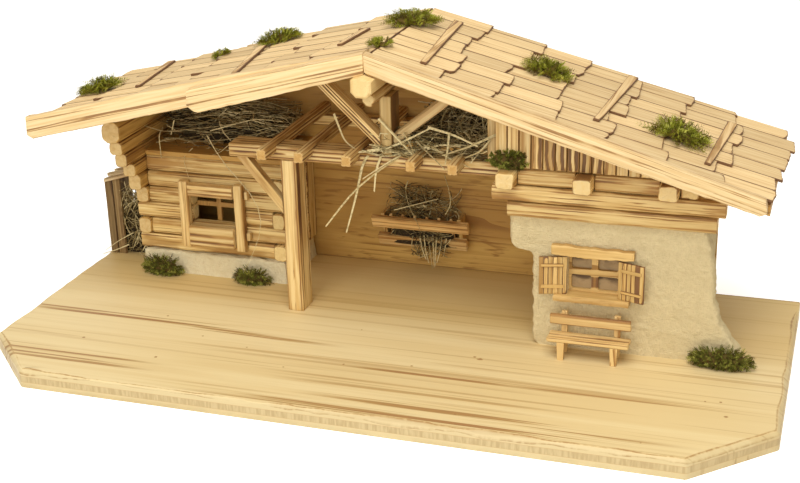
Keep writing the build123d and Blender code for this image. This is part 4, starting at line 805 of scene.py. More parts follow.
pole = node_corners("right_strut")
at_foot = pole[:, 0] < pole[:, 0].min() + 0.05
foot_middle, head_middle = ((ring.min(0) + ring.max(0)) / 2 for ring in (pole[at_foot], pole[~at_foot]))
timbers("right_strut", peeled_pole, 48, axis=head_middle - foot_middle, rounding=0.6, wave=0.9, ring=4.0)
timbers("gable_post", pale_timber, 49, rounding=1.0)
timbers("under_purlin", pale_timber, 51, rounding=1.6, head=1.2, wave=0.7)
hewn_lengthwise = sawn_panel("hewn_purlin", post_pale, post_deep, post_burnt, grain_to_back, 0.35)
finish_node("ridge_purlin", hewn_lengthwise, 0.7)

# House walls
# The front wall is rubble rendered with the same lime plaster, swept out to a buttress at its right foot and
# to a lip at the upper left, with the window opening cut through. The side walls behind are rendered flat.
wall_pitch = 1.7
wall_round = 4.5
wall_lump = 1.5
ridge_lift = 1.3
ridge_level = 44
ridge_start = (206, 216)
ridge_upright = 153
ridge_middle = 64
flat_render = dict(rounding=3.0, pitch=2.2, step=3.0, wave=1.6, brush=0.0, head=1.0)


def wall_skin(corners, hole):
    """Front wall as a grid over level and across: x runs from the left outline to the opening, over it and on
    to the right outline, each a function of the height z. The face stands back by a quarter circle at the
    outlines, where it is ragged, and by lumps of plaster with two trowel ridges exp(-(d / w)^2). A second
    grid closes the back, and strips join them round the outline and the opening."""
    back = corners[corners[:, 1] > corners[:, 1].max() - 0.05]
    sides = []
    for chosen, pick in ((back[back[:, 0] < hole[0] - 3], -1), (back[back[:, 0] > hole[1] + 3], 1)):
        chosen = chosen[np.lexsort((pick * chosen[:, 0], chosen[:, 2]))]
        sides.append((chosen[:, 2], chosen[:, 0]))
    low, high = corners[:, 2].min(), corners[:, 2].max()
    levels = [low, hole[2], hole[3], high]
    rows = [np.linspace(a, b, int((b - a) / wall_pitch) + 1)[:-1] for a, b in zip(levels, levels[1:])]
    rows = np.concatenate(rows + [[high]])
    left, right = (np.interp(rows, z, x) for z, x in sides)
    lines = [left, np.full(len(rows), hole[0]), np.full(len(rows), hole[1]), right]
    x, counts = [], []
    for start, end in zip(lines, lines[1:]):
        counts.append(int((end.mean() - start.mean()) / wall_pitch))
        share = np.linspace(0, 1, counts[-1] + 1)[:-1]
        x.append(start[:, None] * (1 - share) + end[:, None] * share)
    x = np.concatenate(x + [right[:, None]], 1)
    z = np.broadcast_to(rows[:, None], x.shape)
    edge = np.minimum(x - left[:, None], right[:, None] - x)
    brink = np.clip(1 - edge / wall_round, 0, 1)
    frame_gap = np.maximum(np.maximum(hole[0] - x, x - hole[1]), np.maximum(hole[2] - z, z - hole[3]))
    lump = wall_lump * plaster_lump(x, z, 31) * ramp(frame_gap, 0, 6) + 0.35 * noise(x / 2.2, z / 2.2, 34)
    wavy = ridge_level + 2.5 * np.sin((x - 214) / 15)
    bowed = ridge_upright - 0.006 * (z - 70) ** 2
    ridge = np.maximum(np.exp(-((z - wavy) / 1.1) ** 2) * ramp(x, *ridge_start),
                       np.exp(-(x - bowed) ** 2) * ramp(np.abs(z - ridge_middle), 24, 18))
    lump = lump - ridge_lift * ridge * (0.7 + 0.3 * noise(x / 7, z / 7, 35))
    y = corners[:, 1].min() + wall_round * (1 - np.sqrt(1 - brink ** 2)) + np.maximum(lump, 0)
    ragged = 0.9 * noise(z / 3.0, x / 9, 36) + 0.5 * noise(z / 10, 0, 37) - 0.9
    x = x + ragged * brink * np.where(x > hole[1], 1, -1)
    count, across = x.shape
    ids = np.arange(count * across).reshape(count, across)
    quads = np.stack((ids[:-1, :-1], ids[:-1, 1:], ids[1:, 1:], ids[1:, :-1]), -1)
    first, second = (np.searchsorted(rows, level - 0.01) for level in hole[2:])
    start, end = counts[0], counts[0] + counts[1]
    solid = np.ones(quads.shape[:2], bool)
    solid[first:second, start:end] = False
    face = quads[solid]
    ring = np.concatenate((ids[0, :-1], ids[:-1, -1], ids[-1, :0:-1], ids[:0:-1, 0]))
    cut = np.concatenate((ids[first, start:end], ids[first:second, end], ids[second, end:start:-1],
                          ids[second:first:-1, start]))
    ring_on, cut_on = np.roll(ring, -1), np.roll(cut, -1)
    edges = [np.stack((ring_on, ring, ring + ids.size, ring_on + ids.size), 1),
             np.stack((cut, cut_on, cut_on + ids.size, cut + ids.size), 1)]
    back_y = np.full(x.shape, corners[:, 1].max())
    points = np.concatenate([np.stack((x, depth, z), -1).reshape(-1, 3) for depth in (y, back_y)])
    quads = np.vstack([face, face[:, ::-1] + ids.size] + edges)
    used, compact = np.unique(quads, return_inverse=True)
    quads = compact.reshape(-1, 4)
    return {"points": points[used], "quads": quads, "tris": np.zeros((0, 3), int), "marks": {}}


sash_low, sash_high = (np.array(corner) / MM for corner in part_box("window_sash"))
opening = (sash_low[0], sash_high[0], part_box("window_sill")[0][2] / MM, sash_high[2])
front_wall = wall_skin(node_corners("house_front_wall"), opening)
make_piece("house_front_rendered", [front_wall], plaster, "plaster", "house_front_wall", sharp=60)
for node, seed in (("house_left_wall", 61), ("house_right_wall", 62)):
    rng = np.random.default_rng(seed)
    rendered = [timber_skin(corners, (0, 0, 1), rng, **flat_render) for corners in node_solids(node)]
    make_piece(node + "_rendered", rendered, plaster, "plaster", node, sharp=60)

# House beams and joists
# Squared logs on top of the plaster carry the gable: two long ones in front, short ones between the joist
# heads, and the side plates. The joist heads stand out, cut with an axe and chipped.
cut_head = (0.71, 0.52, 0.24, 1)
house_pale = (0.76, 0.55, 0.23, 1)
house_deep = (0.62, 0.40, 0.14, 1)
house_timber = torched_wood("house_timber", house_pale, house_deep, log_burnt,
                            late=0.75, rim=0.7, rim_reach=1.1, line=0.85)
timbers("house_front_beams", house_timber, 71, rounding=1.4, wave=0.7, ring=2.6, brush=0.5)
timbers("house_side_logs", honey_logs, 72, rounding=1.4, wave=0.7, brush=0.5)
timbers("house_top_logs", house_timber, 73, rounding=1.4, wave=0.6, ring=2.4, brush=0.5)
joist_logs = torched_wood("joist_logs", log_pale, log_deep, log_burnt,
                          late=0.75, rim=0.8, rim_reach=1.1, line=0.65, head=cut_head)
timbers("house_joists", joist_logs, 74, rounding=0.8, wave=0.9, head=0.7, burnt=(0, 0, 1))

# Gable boards
# Narrow boards nailed upright on the house gable, their tops cut to the roof. The soft wood is burnt and
# brushed out between the rings, which leaves pale ribs and near black grooves.
gable_burnt = (0.16, 0.075, 0.022, 1)
gable_stripe = 6.8
stripe_shares = (0.1, 0.28, 0.58, 0.68)
striped_boards = torched_wood("striped_boards", post_pale, post_deep, gable_burnt,
                              late=1.0, rim=0.6, rim_reach=0.8, patchy=0.1)


def spread_directions(points):
    """Directions in which points spread, from the widest to the thinnest."""
    return np.linalg.svd(points - points.mean(0), full_matrices=False)[2]


def board_skin(corners, across, rng, pitch=1.5, step=3.0, ease=0.6, ragged=0.3, brush=0.25, ring=3.0,
               upright=True, stripes=()):
    """A thin board: at each place r along `across` its face runs from a low to a high edge, read from the
    convex outline, and the section round it goes up the face and down the back. Both edges are shifted by
    noise, the thickness draws in by a quarter circle of radius ease near every edge, and late wood is brushed
    back. The grain runs from the low to the high edge when upright, and along `across` when not. stripes, as
    a width and the places where they start, are full, begin to fade and are gone, adds late wood where
    sin(2 pi r / width) is high, with r bent by noise."""
    normal = spread_directions(corners)[2]
    normal = normal if normal @ np.array((0.05, -1, 0.9)) > 0 else -normal
    across = np.asarray(across, float)
    across = unit(across - (across @ normal) * normal)
    basis = np.stack((across, np.cross(normal, across), normal))
    local = corners @ basis.T
    outline = hull_ring(local[:, :2])
    start, end = outline, np.roll(outline, -1, 0)
    r0, r1 = outline[:, 0].min(), outline[:, 0].max()
    inner = np.linspace(r0 + ease, r1 - ease, max(3, int((r1 - r0) / (pitch if upright else step))))
    r = np.r_[r0, r0 + 0.3 * ease, inner, r1 - 0.3 * ease, r1]
    run = np.where(np.abs(end - start)[:, 0] < 0.05, np.inf, (end - start)[:, 0])[:, None]
    share = (np.clip(r, r0 + 0.02, r1 - 0.02)[None] - start[:, :1]) / run
    crossed = (share >= 0) & (share <= 1) & np.isfinite(run)
    level = np.where(crossed, start[:, 1:] + share * (end - start)[:, 1:], np.nan)
    seed = new_seed(rng)
    low = np.nanmin(level, 0) + ragged * (0.5 + 0.5 * noise(r / 9, 0, seed) + 0.3 * noise(r / 2.6, 1, seed))
    high = np.nanmax(level, 0) - ragged * (0.5 + 0.5 * noise(r / 9, 2, seed) + 0.3 * noise(r / 2.6, 3, seed))
    tall = np.maximum(high - low, 0.3)[:, None]
    count = max(4, int(tall.mean() / (step if upright else pitch)))
    rise = np.linspace(0, 1, count)[None] * (tall - 2 * ease) + ease
    lip = np.full(tall.shape, 0.3 * ease)
    up = np.concatenate((0 * tall, lip, rise, tall - lip, tall), 1)
    edge = np.minimum(np.minimum(up, tall - up), np.minimum(r - r0, r1 - r)[:, None])
    face = np.concatenate((up, up[:, ::-1]), 1) + low[:, None]
    edge = np.concatenate((edge, edge[:, ::-1]), 1)
    bottom, top = local[:, 2].min(), local[:, 2].max()
    draw = ease * (1 - np.sqrt(1 - np.clip(1 - edge / ease, 0, 1) ** 2))
    place = np.broadcast_to(r[:, None], face.shape)
    front = np.arange(face.shape[1])[None] < up.shape[1]
    along, aside = (face, place) if upright else (place, face)
    figure = grain_figure(along, aside, np.where(front, top, bottom), rng, ring)
    if stripes:
        width, start, full, fading, gone = stripes
        bent = place + 1.4 * noise(face / 16, place / 11, 82) + 0.5 * noise(face / 6, place / 4, 83)
        grooves = ramp(np.sin(2 * np.pi * bent / width) + 0.35 * noise(face / 30, place / 9, 84), -0.15, 0.25)
        figure = np.maximum(0.35 * figure, grooves * ramp(place, start, full) * ramp(-place, -gone, -fading))
    thick = np.where(front, top - draw - brush * figure, bottom + draw * (top - bottom > 2 * ease))
    section = np.stack((place, face, thick), -1)
    offset = rng.uniform(-grain_shift, grain_shift, 2)
    grain = np.stack((along + offset[0], aside + offset[1], thick), -1) * MM
    tone = np.full(face.shape, rng.uniform(-1, 1))
    sawn = np.zeros(tone.shape)
    return closed_tube(section @ basis, grain=grain, late=figure, rim=edge, tone=tone, sawn=sawn)


def boards(node, across, finish, seed, slot="scorched_boards", **cut):
    """All the solids of a CAD node as thin boards, in one piece."""
    rng = np.random.default_rng(seed)
    skins = [board_skin(corners, across, rng, **cut) for corners in node_solids(node)]
    make_piece(node + "_split", skins, finish, slot, node)


gable_x = node_corners("gable_boards")[:, 0]
stripe_places = (gable_x.min() + share * np.ptp(gable_x) for share in stripe_shares)
boards("gable_boards", (1, 0, 0), striped_boards, 81, pitch=0.6, step=4.0, brush=0.9, ring=2.2,
       stripes=(gable_stripe, *stripe_places))

# House window
# A sash cut from one thin board, a lintel and a sill nailed on the plaster, and two batten shutters that turn
# on wire pins. The wood is toasted brown, with burnt seams between the shutter boards.
joinery_pale = (0.69, 0.47, 0.18, 1)
joinery_deep = (0.54, 0.33, 0.10, 1)
strip_pale = (0.58, 0.37, 0.12, 1)
joinery_burnt = (0.17, 0.075, 0.026, 1)
pane_brown = (0.40, 0.275, 0.135, 1)
pane_painted_shadow = (0.10, 0.055, 0.022, 1)
wire_dark = (0.10, 0.085, 0.075, 1)
wire_brown = (0.22, 0.17, 0.13, 1)
bar_half = 2.6
pane_depth = (2.8, 3.6)
shade_drop = (-11, -3)
leaf_slats = 6
slat_gap = 0.08
joinery_upright = sawn_panel("toasted_upright", joinery_pale, joinery_deep, joinery_burnt, grain_upright, 0.9)
sash_board = sawn_panel("sash_board", joinery_pale, joinery_deep, joinery_burnt, amount=0.5)
tree, shader, colour, spot = coat_under(sash_board)
x, y, z = add(tree, "SeparateXYZ", {0: spot}).outputs
sash_middle = (sash_low + sash_high) / 2
aside = maths("ABSOLUTE", maths("SUBTRACT", x, sash_middle[0] * MM))
bar = times(past(aside, bar_half, 0, 0.8, 1.0, 0.0), past(z, sash_middle[2], -5, -3, 1.0, 0.0))
bar = times(bar, past(z, sash_low[2], 3, 6))
bar = times(bar, past(aside, 0, 0, bar_half, 0.6, 1.0))
colour = darken_brown(bar, colour, joinery_deep, joinery_burnt)
# Painted shadow: the panes darken just under the cross bar and under the top of the sash.
under_bar = times(past(z, sash_middle[2], *shade_drop), past(z, sash_middle[2], 0, 1, 1.0, 0.0))
shade = maths("MAXIMUM", under_bar, past(z, sash_high[2], *shade_drop))
murk = grain_noise(spot, (90, 90, 140), 3)
shade = maths("ADD", shade, between(murk, 0.35, 0.65, -0.2, 0.35))
pane = blend(between(shade, 0.0, 1.0), pane_brown, pane_painted_shadow)
feed(shader, {"Base Color": blend(past(y, sash_low[1], *pane_depth), colour, pane)})
finish_node("window_sash", sash_board, 0.25)
joinery_boards = torched_wood("toasted_boards", joinery_pale, joinery_deep, joinery_burnt,
                              late=0.35, rim=0.3, rim_reach=0.6, line=0.3)
for node, seed in (("window_lintel", 96), ("window_sill", 97)):
    boards(node, (1, 0, 0), joinery_boards, seed, "joinery", pitch=0.8, step=2.0, ease=0.5, ragged=1.4,
           brush=0.3, upright=False)
toasted_strips = torched_wood("toasted_strips", joinery_pale, joinery_deep, joinery_burnt,
                              late=0.95, rim=1.0, rim_reach=0.5, patchy=0.25)


def leaf_boards(node, body, seed, scorched, amount):
    """A shutter leaf as upright boards side by side: its outline, seen along its thin side, is cut into equal
    widths, and the scorched board is burnt all over by the amount."""
    rng = np.random.default_rng(seed)
    corners = node_corners(node)
    widest = spread_directions(corners[:, :2])[0]
    across = np.append(widest, 0) * np.sign(widest[0])
    through = np.cross((0, 0, 1), across)
    width, depth, level = (corners @ np.stack((across, through, (0, 0, 1))).T).T
    marks = np.linspace(width.min(), width.max(), leaf_slats + 1)
    skins = []
    for number, (r0, r1) in enumerate(zip(marks, marks[1:])):
        slat = np.array([r * across + d * through + (0, 0, z) for r in (r0 + slat_gap, r1 - slat_gap)
                         for d in (depth.min(), depth.max()) for z in (level.min(), level.max())])
        skin = board_skin(slat, across, rng, pitch=0.7, ease=0.35, ragged=0.4, brush=0.3, ring=2.0)
        skin["marks"]["late"] = np.maximum(0.3 * skin["marks"]["late"], amount if number == scorched else 0)
        skins.append(skin)
    make_piece(node + "_boards", skins, toasted_strips, "joinery", node, body=body)


leaf_boards("left_shutter", "left_shutter_leaf", 93, 0, 0.5)
leaf_boards("right_shutter", "right_shutter_leaf", 94, 4, 1.0)
leaf_strips = torched_wood("leaf_strips", strip_pale, joinery_deep, joinery_burnt,
                           late=0.3, rim=0.8, rim_reach=0.5)
for node, seed, body, axis in (("left_shutter_battens", 91, "left_shutter_leaf", (0.97, 0.24, 0)),
                               ("right_shutter_battens", 92, "right_shutter_leaf", (0.95, -0.31, 0))):
    timbers(node, leaf_strips, seed, "joinery", body, axis, rounding=0.4, pitch=0.6, wave=0.15, brush=0.1,
            head=0.3, ring=1.6)

wire_finish, tree, shader = new_finish("annealed_wire")
crust = grain_noise(own_place(tree), (1200, 1200, 300), 3)
feed(shader, {"Base Color": blend(between(crust, 0.35, 0.7), wire_dark, wire_brown),
              "Roughness": between(crust, 0.3, 0.7, 0.38, 0.6), "Metallic": 0.9,
              "Normal": bump(crust, 0.2, 0.0001)})
finish_node("shutter_pins", wire_finish)

# Bench
# A small seat of three slats on two legs and two back posts, nailed together from torched strips and set
# against the wall under the window.
bench_pale = (0.76, 0.54, 0.23, 1)
bench_deep = (0.62, 0.39, 0.14, 1)
bench_strips = torched_wood("bench_strips", bench_pale, bench_deep, joinery_burnt,
                            late=0.8, rim=0.75, rim_reach=0.8)
timbers("bench_slats", bench_strips, 95, "joinery", rounding=0.7, pitch=0.8, wave=0.25, brush=0.25, ring=2.2)
bench_feet = sawn_panel("bench_feet", bench_pale, bench_deep, joinery_burnt, grain_upright, 0.6)
finish_node("bench_legs", bench_feet, 0.4)

# Hayrack
# Two grooved slats held off the back wall by brackets and rungs, all from narrow torched strips, pegged
# together so that hay can be pushed in behind.
rack_pale = (0.80, 0.54, 0.22, 1)
rack_deep = (0.64, 0.38, 0.13, 1)
rack_strips = torched_wood("rack_strips", rack_pale, rack_deep, joinery_burnt,
                           late=0.7, rim=0.6, rim_reach=0.8, line=0.5)
timbers("rack_slats", rack_strips, 101, "joinery", rounding=0.8, pitch=0.8, ring=2.2, brush=0.5,
        bands=((1, 0.95, 0.05), (1, 0.45, 0.05)))
timbers("rack_rungs", rack_strips, 102, "joinery", axis=(0, -0.36, 0.93), rounding=0.6, pitch=0.8)
finish_node("rack_brackets", joinery_upright, 0.4)

# Roof shingles and battens
# Hand-split spruce shingles in lapped courses from the eaves to the ridge, each a little crooked with a
# ragged lower edge. The torch has browned every edge, and loose battens lie across the courses.
shingle_pale = (0.79, 0.59, 0.31, 1)
shingle_deep = (0.67, 0.455, 0.215, 1)
batten_pale = (0.74, 0.53, 0.27, 1)
batten_deep = (0.57, 0.37, 0.16, 1)
shingle_burnt = (0.15, 0.07, 0.026, 1)
split_shingles = torched_wood("split_shingles", shingle_pale, shingle_deep, shingle_burnt,
                              late=0.1, rim=1.0, rim_reach=1.25, rough=0.7, line=0.3, rings=16)
for node, seed in (("left_shingles", 111), ("right_shingles", 112)):
    boards(node, (0, 1, 0), split_shingles, seed, pitch=1.6, step=4.0, ease=0.4, ragged=0.8, brush=0.06)
batten_wood = torched_wood("batten_wood", batten_pale, batten_deep, shingle_burnt,
                           late=0.55, rim=1.0, rim_reach=1.3, rough=0.7, line=0.75)
boards("roof_battens", (0, 1, 0), batten_wood, 113, pitch=1.2, step=4.0, brush=0.2, upright=False)

# Bargeboards
# Long boards up the front edges of the roof, two overlapping on the left and one on the right. They are
# planed, then torched lightly, so thin brown lines run along them and the lower edges keep the waves of the
# drawknife.
barge_pale = (0.80, 0.61, 0.33, 1)
barge_deep = (0.70, 0.49, 0.23, 1)
barge_burnt = (0.24, 0.115, 0.04, 1)
planed_boards = torched_wood("planed_boards", barge_pale, barge_deep, barge_burnt,
                             late=0.04, rim=0.22, rim_reach=0.8, rough=0.6, line=0.8, rings=22)
for node, slope, seed in (("left_bargeboards", (0.97, 0, 0.243), 121),
                          ("right_bargeboard", (0.957, 0, -0.289), 122)):
    boards(node, slope, planed_boards, seed, pitch=1.0, step=4.0, ease=1.2, ragged=0.6, ring=2.6, brush=0.4,
           upright=False)

# Hay
# Dry meadow hay, pressed flat on the hut ceiling, heaped on the loft joists, pushed behind the rack and
# stacked in the lean-to. Stalks and blades lie crosswise, bleached ones on top of brown ones, and the longest
# hang over. A near black core and the darkest stalks are painted shade in the depth of each heap.
# Painted shade: near black for the core of each heap and the darkest stalks.
hay_painted_shade = (0.035, 0.022, 0.01, 1)
hay_brown = (0.27, 0.20, 0.08, 1)
hay_straw = (0.74, 0.62, 0.34, 1)
length_guard = 1e-9


def stalk_skin(paths, width, tone):
    """Thin stalks: three points round each path point P(stalk, step), for three angles a at
    width * (cos a * side + 0.5 sin a * up), tapering to the tip. Each stalk is closed at both ends, and its
    tone is a mark."""
    count, steps = paths.shape[:2]
    ahead = unit(np.gradient(paths, axis=1), length_guard)
    twist = np.sin(np.arange(count) * 2.4)[:, None, None]
    twist = twist * np.array((0.3, 0.9, 0.2)) + np.array((0.2, 0.1, 0.9))
    side = unit(np.cross(ahead, np.broadcast_to(twist, ahead.shape)), length_guard)
    up = np.cross(side, ahead)
    angle = np.radians((90, 210, 330))
    taper = np.asarray(width)[:, None, None, None] * np.linspace(1, 0.55, steps)[None, :, None, None]
    spokes = side[:, :, None] * np.cos(angle)[:, None] + 0.5 * up[:, :, None] * np.sin(angle)[:, None]
    points = paths[:, :, None] + taper * spokes
    ids = np.arange(count * steps * 3).reshape(count, steps, 3)
    turned = np.roll(ids, -1, 2)
    quads = np.stack((ids[:, :-1], turned[:, :-1], turned[:, 1:], ids[:, 1:]), -1).reshape(-1, 4)
    tris = np.vstack((ids[:, 0, ::-1], ids[:, -1]))
    tone = np.broadcast_to(np.asarray(tone)[:, None, None], ids.shape).ravel()
    return {"points": points.reshape(-1, 3), "quads": quads, "tris": tris, "marks": {"tone": tone}}


def heap_core(low, high, top, share):
    """Dark body of a heap: rings over its footprint, a squared-off oval |x|^4 + |y|^4 = 1, out along the
    floor and in over the heap, at a share of the height top(x, y)."""
    middle, half = (low + high)[:2] / 2, (high - low)[:2] / 2
    turn = np.linspace(0, 2 * np.pi, 48, endpoint=False)
    oval = np.stack((np.cos(turn), np.sin(turn)), 1)
    oval = oval * ((oval ** 4).sum(1) ** -0.25)[:, None]
    rows = [(scale, 0) for scale in (0.03, 0.5, 0.9)]
    rows += [(scale, 1) for scale in (0.88, 0.8, 0.68, 0.54, 0.4, 0.26, 0.12, 0.03)]
    rings = []
    for scale, over in rows:
        flat = middle + oval * half * scale
        rings.append(np.column_stack((flat, low[2] + over * share * (top(flat[:, 0], flat[:, 1]) - low[2]))))
    return closed_tube(np.array(rings), tone=np.zeros((len(rings), len(turn))))


def laid_stalks(rng, count, low, high, top, length, lean, spread, cling, sink):
    """Stalks that lie on a heap: each has its middle over the footprint and runs in a level direction that
    scatters round lean in degrees, with the path middle + size * (t * heading + bow * t^2 * aside). Its
    height goes from a straight slope to top(x, y) by the share cling, and it lies deeper by a random share of
    the heap's height that scatters by sink."""
    middle = low[:2] + rng.uniform(0.02, 0.98, (count, 2)) * (high - low)[:2]
    turn = math.radians(lean) + spread * rng.normal(0, 1, count)
    size = rng.uniform(length[0], length[1], count)
    heading, aside = np.stack((np.cos(turn), np.sin(turn)), 1), np.stack((-np.sin(turn), np.cos(turn)), 1)
    t = np.linspace(-0.5, 0.5, 7)[None, :, None]
    bow = rng.normal(0, 0.2, (count, 1, 1))
    flat = middle[:, None] + size[:, None, None] * (t * heading[:, None] + bow * t ** 2 * aside[:, None])
    flat = np.clip(flat, low[:2] + 0.8, high[:2] - 0.8)
    slope = size[:, None] * t[:, :, 0] * rng.normal(0, 0.22, count)[:, None]
    level = (1 - cling) * (top(*middle.T)[:, None] + slope) + cling * top(flat[:, :, 0], flat[:, :, 1])
    depth = np.abs(rng.normal(0, sink, count))[:, None] * (level - low[2])
    lift = 2.0 * noise(t[:, :, 0] * 2, np.arange(count)[:, None] * 1.7, 81)
    level = np.clip(level - depth + lift, low[2] + 0.6, high[2] - 0.4)
    return np.concatenate((flat, level[:, :, None]), 2)


def tangled_stalks(rng, count, low, high, length, climb):
    """Loose stalks through a box: middle + size * (t * heading + t^2 * bend), where the heading scatters all
    round with its rise scaled by climb, kept inside the box."""
    low, high = np.asarray(low, float), np.asarray(high, float)
    heading = unit(rng.normal(0, 1, (count, 3)) * (1, 0.5, climb))
    bend = rng.normal(0, 0.22, (count, 1, 3))
    size = rng.uniform(length[0], length[1], (count, 1, 1))
    t = np.linspace(-0.5, 0.5, 7)[None, :, None]
    paths = rng.uniform(low, high, (count, 3))[:, None] + size * (t * heading[:, None] + 2 * t ** 2 * bend)
    return np.clip(paths, low - 0.1 * (high - low), high + 0.1 * (high - low))


def long_stalks(courses, steps=11):
    """Single long stalks along given corner points: even steps by length, eased twice by (a + 2b + c) / 4."""
    paths = []
    for course in courses:
        course = np.asarray(course, float)
        run = np.r_[0, np.cumsum(np.linalg.norm(np.diff(course, axis=0), axis=1))]
        path = np.stack([np.interp(np.linspace(0, run[-1], steps), run, course[:, i]) for i in range(3)], 1)
        for _ in range(2):
            path[1:-1] = (path[:-2] + 2 * path[1:-1] + path[2:]) / 4
        paths.append(path)
    return np.array(paths)


def strewn_finish(name, dark, middle, pale, fineness, mottle, stops, rough, shine, relief):
    """Dry stalks or leaves from a dark core through a middle colour to pale tips, by the tone that each
    carries, with soft flecks."""
    finish, tree, shader = new_finish(name)
    fleck = grain_noise(own_place(tree), (fineness, fineness, fineness), 3)
    mottled = maths("ADD", carried(tree, "tone"), between(fleck, 0.3, 0.7, -mottle, mottle))
    colour = blend(between(mottled, 0.0, stops[0]), dark, middle)
    colour = blend(between(mottled, stops[1], stops[2]), colour, pale)
    feed(shader, {"Base Color": colour, "Roughness": between(fleck, 0.3, 0.7, rough, rough + 0.25),
                  "Specular IOR Level": shine, "Normal": bump(fleck, 0.3, relief)})
    return finish


hay_finish = strewn_finish("meadow_hay", hay_painted_shade, hay_brown, hay_straw, fineness=420, mottle=0.16,
                           stops=(0.5, 0.45, 1.0), rough=0.6, shine=0.15, relief=0.0003)


def hay_heap(node, seed, count, top, length, lean, spread, width, tones, long, core, tangles, front=0.0,
             thick=(0.75, 1.15), **lay):
    """One heap in place of a CAD node: a core painted near black as shade under the mound top(x, y), given as
    a share of the node's height over shares of its width and depth from the front share on, laid stalks on
    it, loose tangles round it, and the long ones that stick or hang out of it."""
    rng = np.random.default_rng(seed)
    low, high = (np.array(corner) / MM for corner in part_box(node))
    low[1] += front * (high[1] - low[1])

    def mound(x, y):
        u, v = (x - low[0]) / (high[0] - low[0]), (y - low[1]) / (high[1] - low[1])
        lumps = 1 + 0.16 * noise(x / 13, y / 13, seed) + 0.08 * noise(x / 5, y / 5, seed + 1)
        return low[2] + (high[2] - low[2]) * np.clip(top(u, v) * lumps, 0.01, 1)

    skins = [heap_core(low, high, mound, core)]
    batches = [laid_stalks(rng, count, low, high, mound, length, lean, spread, **lay)]
    batches += [tangled_stalks(rng, *tangle) for tangle in tangles]
    for paths in batches:
        tone = np.clip(rng.normal(tones[0], tones[1], len(paths)), 0.05, 1)
        skins.append(stalk_skin(paths, rng.uniform(width[0], width[1], len(paths)), tone))
    thickness, tone = rng.uniform(*thick, len(long)), rng.uniform(0.75, 1.0, len(long))
    skins.append(stalk_skin(long_stalks(long), thickness, tone))
    make_piece(node + "_stalks", skins, hay_finish, "hay", node, sharp=80)


def hut_mound(u, v):
    """Hay on the ceiling: a thin spread in front that climbs to the full height at the back wall."""
    return (0.3 + 0.65 * ramp(v, 0.0, 0.5)) * (1 - np.abs(2 * u - 1) ** 8 * 0.4)


def loft_mound(u, v):
    """Hay on the joists: low in front and at the king post, full against the gable boards and behind."""
    return (0.25 + 0.7 * ramp(v, 0.05, 0.45)) * (0.45 + 0.55 * ramp(u, 0.0, 0.5))


def rack_mound(u, v):
    """Hay pushed behind the rack: a round bunch."""
    return 0.95 * np.sqrt(np.clip(1 - (2 * u - 1) ** 2, 0.02, 1))


def corner_mound(u, v):
    """Hay stacked in the lean-to: highest against the hut and the back wall."""
    return 0.45 + 0.5 * ramp(u, 0.0, 0.7)


hut_long = [
    [(-299, 78, 180), (-278, 80, 174), (-257, 84, 174)], [(-269, 84, 174), (-232, 90, 178), (-196, 96, 184)],
    [(-280, 86, 176), (-279, 74, 172), (-276, 70, 148)], [(-262, 96, 158), (-210, 92, 166), (-160, 94, 178)],
    [(-225, 78, 174), (-202, 66, 144), (-181, 65, 131), (-157, 64, 98), (-169, 64, 63), (-193, 62, 20)],
    [(-268, 90, 184), (-272, 88, 168)], [(-247, 86, 156), (-252, 72, 150), (-246, 70, 128)],
    [(-232, 100, 172), (-180, 104, 188), (-150, 104, 186)],
    [(-288, 84, 160), (-264, 79, 168), (-244, 79, 165)],
    [(-196, 80, 170), (-212, 77, 156), (-222, 76, 153)]]
hut_loose = [(110, (-285, 112, 160), (-155, 150, 192), (40, 100), 0.2),
             (26, (-285, 88, 156), (-155, 122, 164), (25, 80), 0.1)]
hay_heap("hut_hay", 131, 300, hut_mound, length=(40, 110), lean=2, spread=0.25, width=(0.6, 1.15),
         tones=(0.5, 0.38), long=hut_long, core=0.6, tangles=hut_loose, front=0.45, cling=0.2, sink=0.35)
loft_long = [
    [(40, 34, 199), (8, 9, 192), (-28, 4, 167)], [(34, 30, 200), (1, 7, 187), (-37, 4, 156), (-68, 4, 115)],
    [(-16, 22, 195), (-28, 8, 189), (-34, 4, 154), (-47, 4, 111)],
    [(-10, 14, 193), (-15, 6, 176), (-17, 5, 155)],
    [(-55, 6, 229), (-46, 8, 201), (-36, 14, 192)], [(36, 10, 221), (60, 9, 216), (85, 6, 207)],
    [(104, 5, 221), (78, 6, 207), (50, 8, 195)], [(57, 7, 218), (55, 7, 200), (53, 6, 187)],
    [(25, 9, 206), (40, 7, 193), (53, 6, 182)], [(45, 12, 197), (58, 7, 192), (77, 6, 186)],
    [(-11, 7, 227), (6, 8, 209), (22, 8, 193)], [(-17, 8, 201), (4, 9, 196), (25, 9, 192)],
    [(-24, 9, 194), (0, 9, 199), (38, 10, 220)], [(-40, 8, 191), (-12, 9, 195), (20, 10, 193)],
    [(12, 10, 214), (20, 9, 201), (24, 8, 190)], [(34, 12, 199), (48, 11, 205), (66, 14, 203)],
    [(70, 12, 193), (86, 9, 201), (96, 7, 214)], [(-30, 10, 193), (-6, 8, 189), (18, 7, 196)]]
loft_loose = [(170, (-14, 9, 192), (84, 40, 211), (22, 60), 0.35),
              (60, (30, 40, 200), (84, 90, 228), (25, 60), 0.5)]
hay_heap("loft_hay", 132, 420, loft_mound, length=(30, 75), lean=30, spread=0.8, width=(0.5, 1.1),
         tones=(0.58, 0.28), long=loft_long, core=0.6, tangles=loft_loose, thick=(1.2, 2.2), cling=0.3,
         sink=0.3)
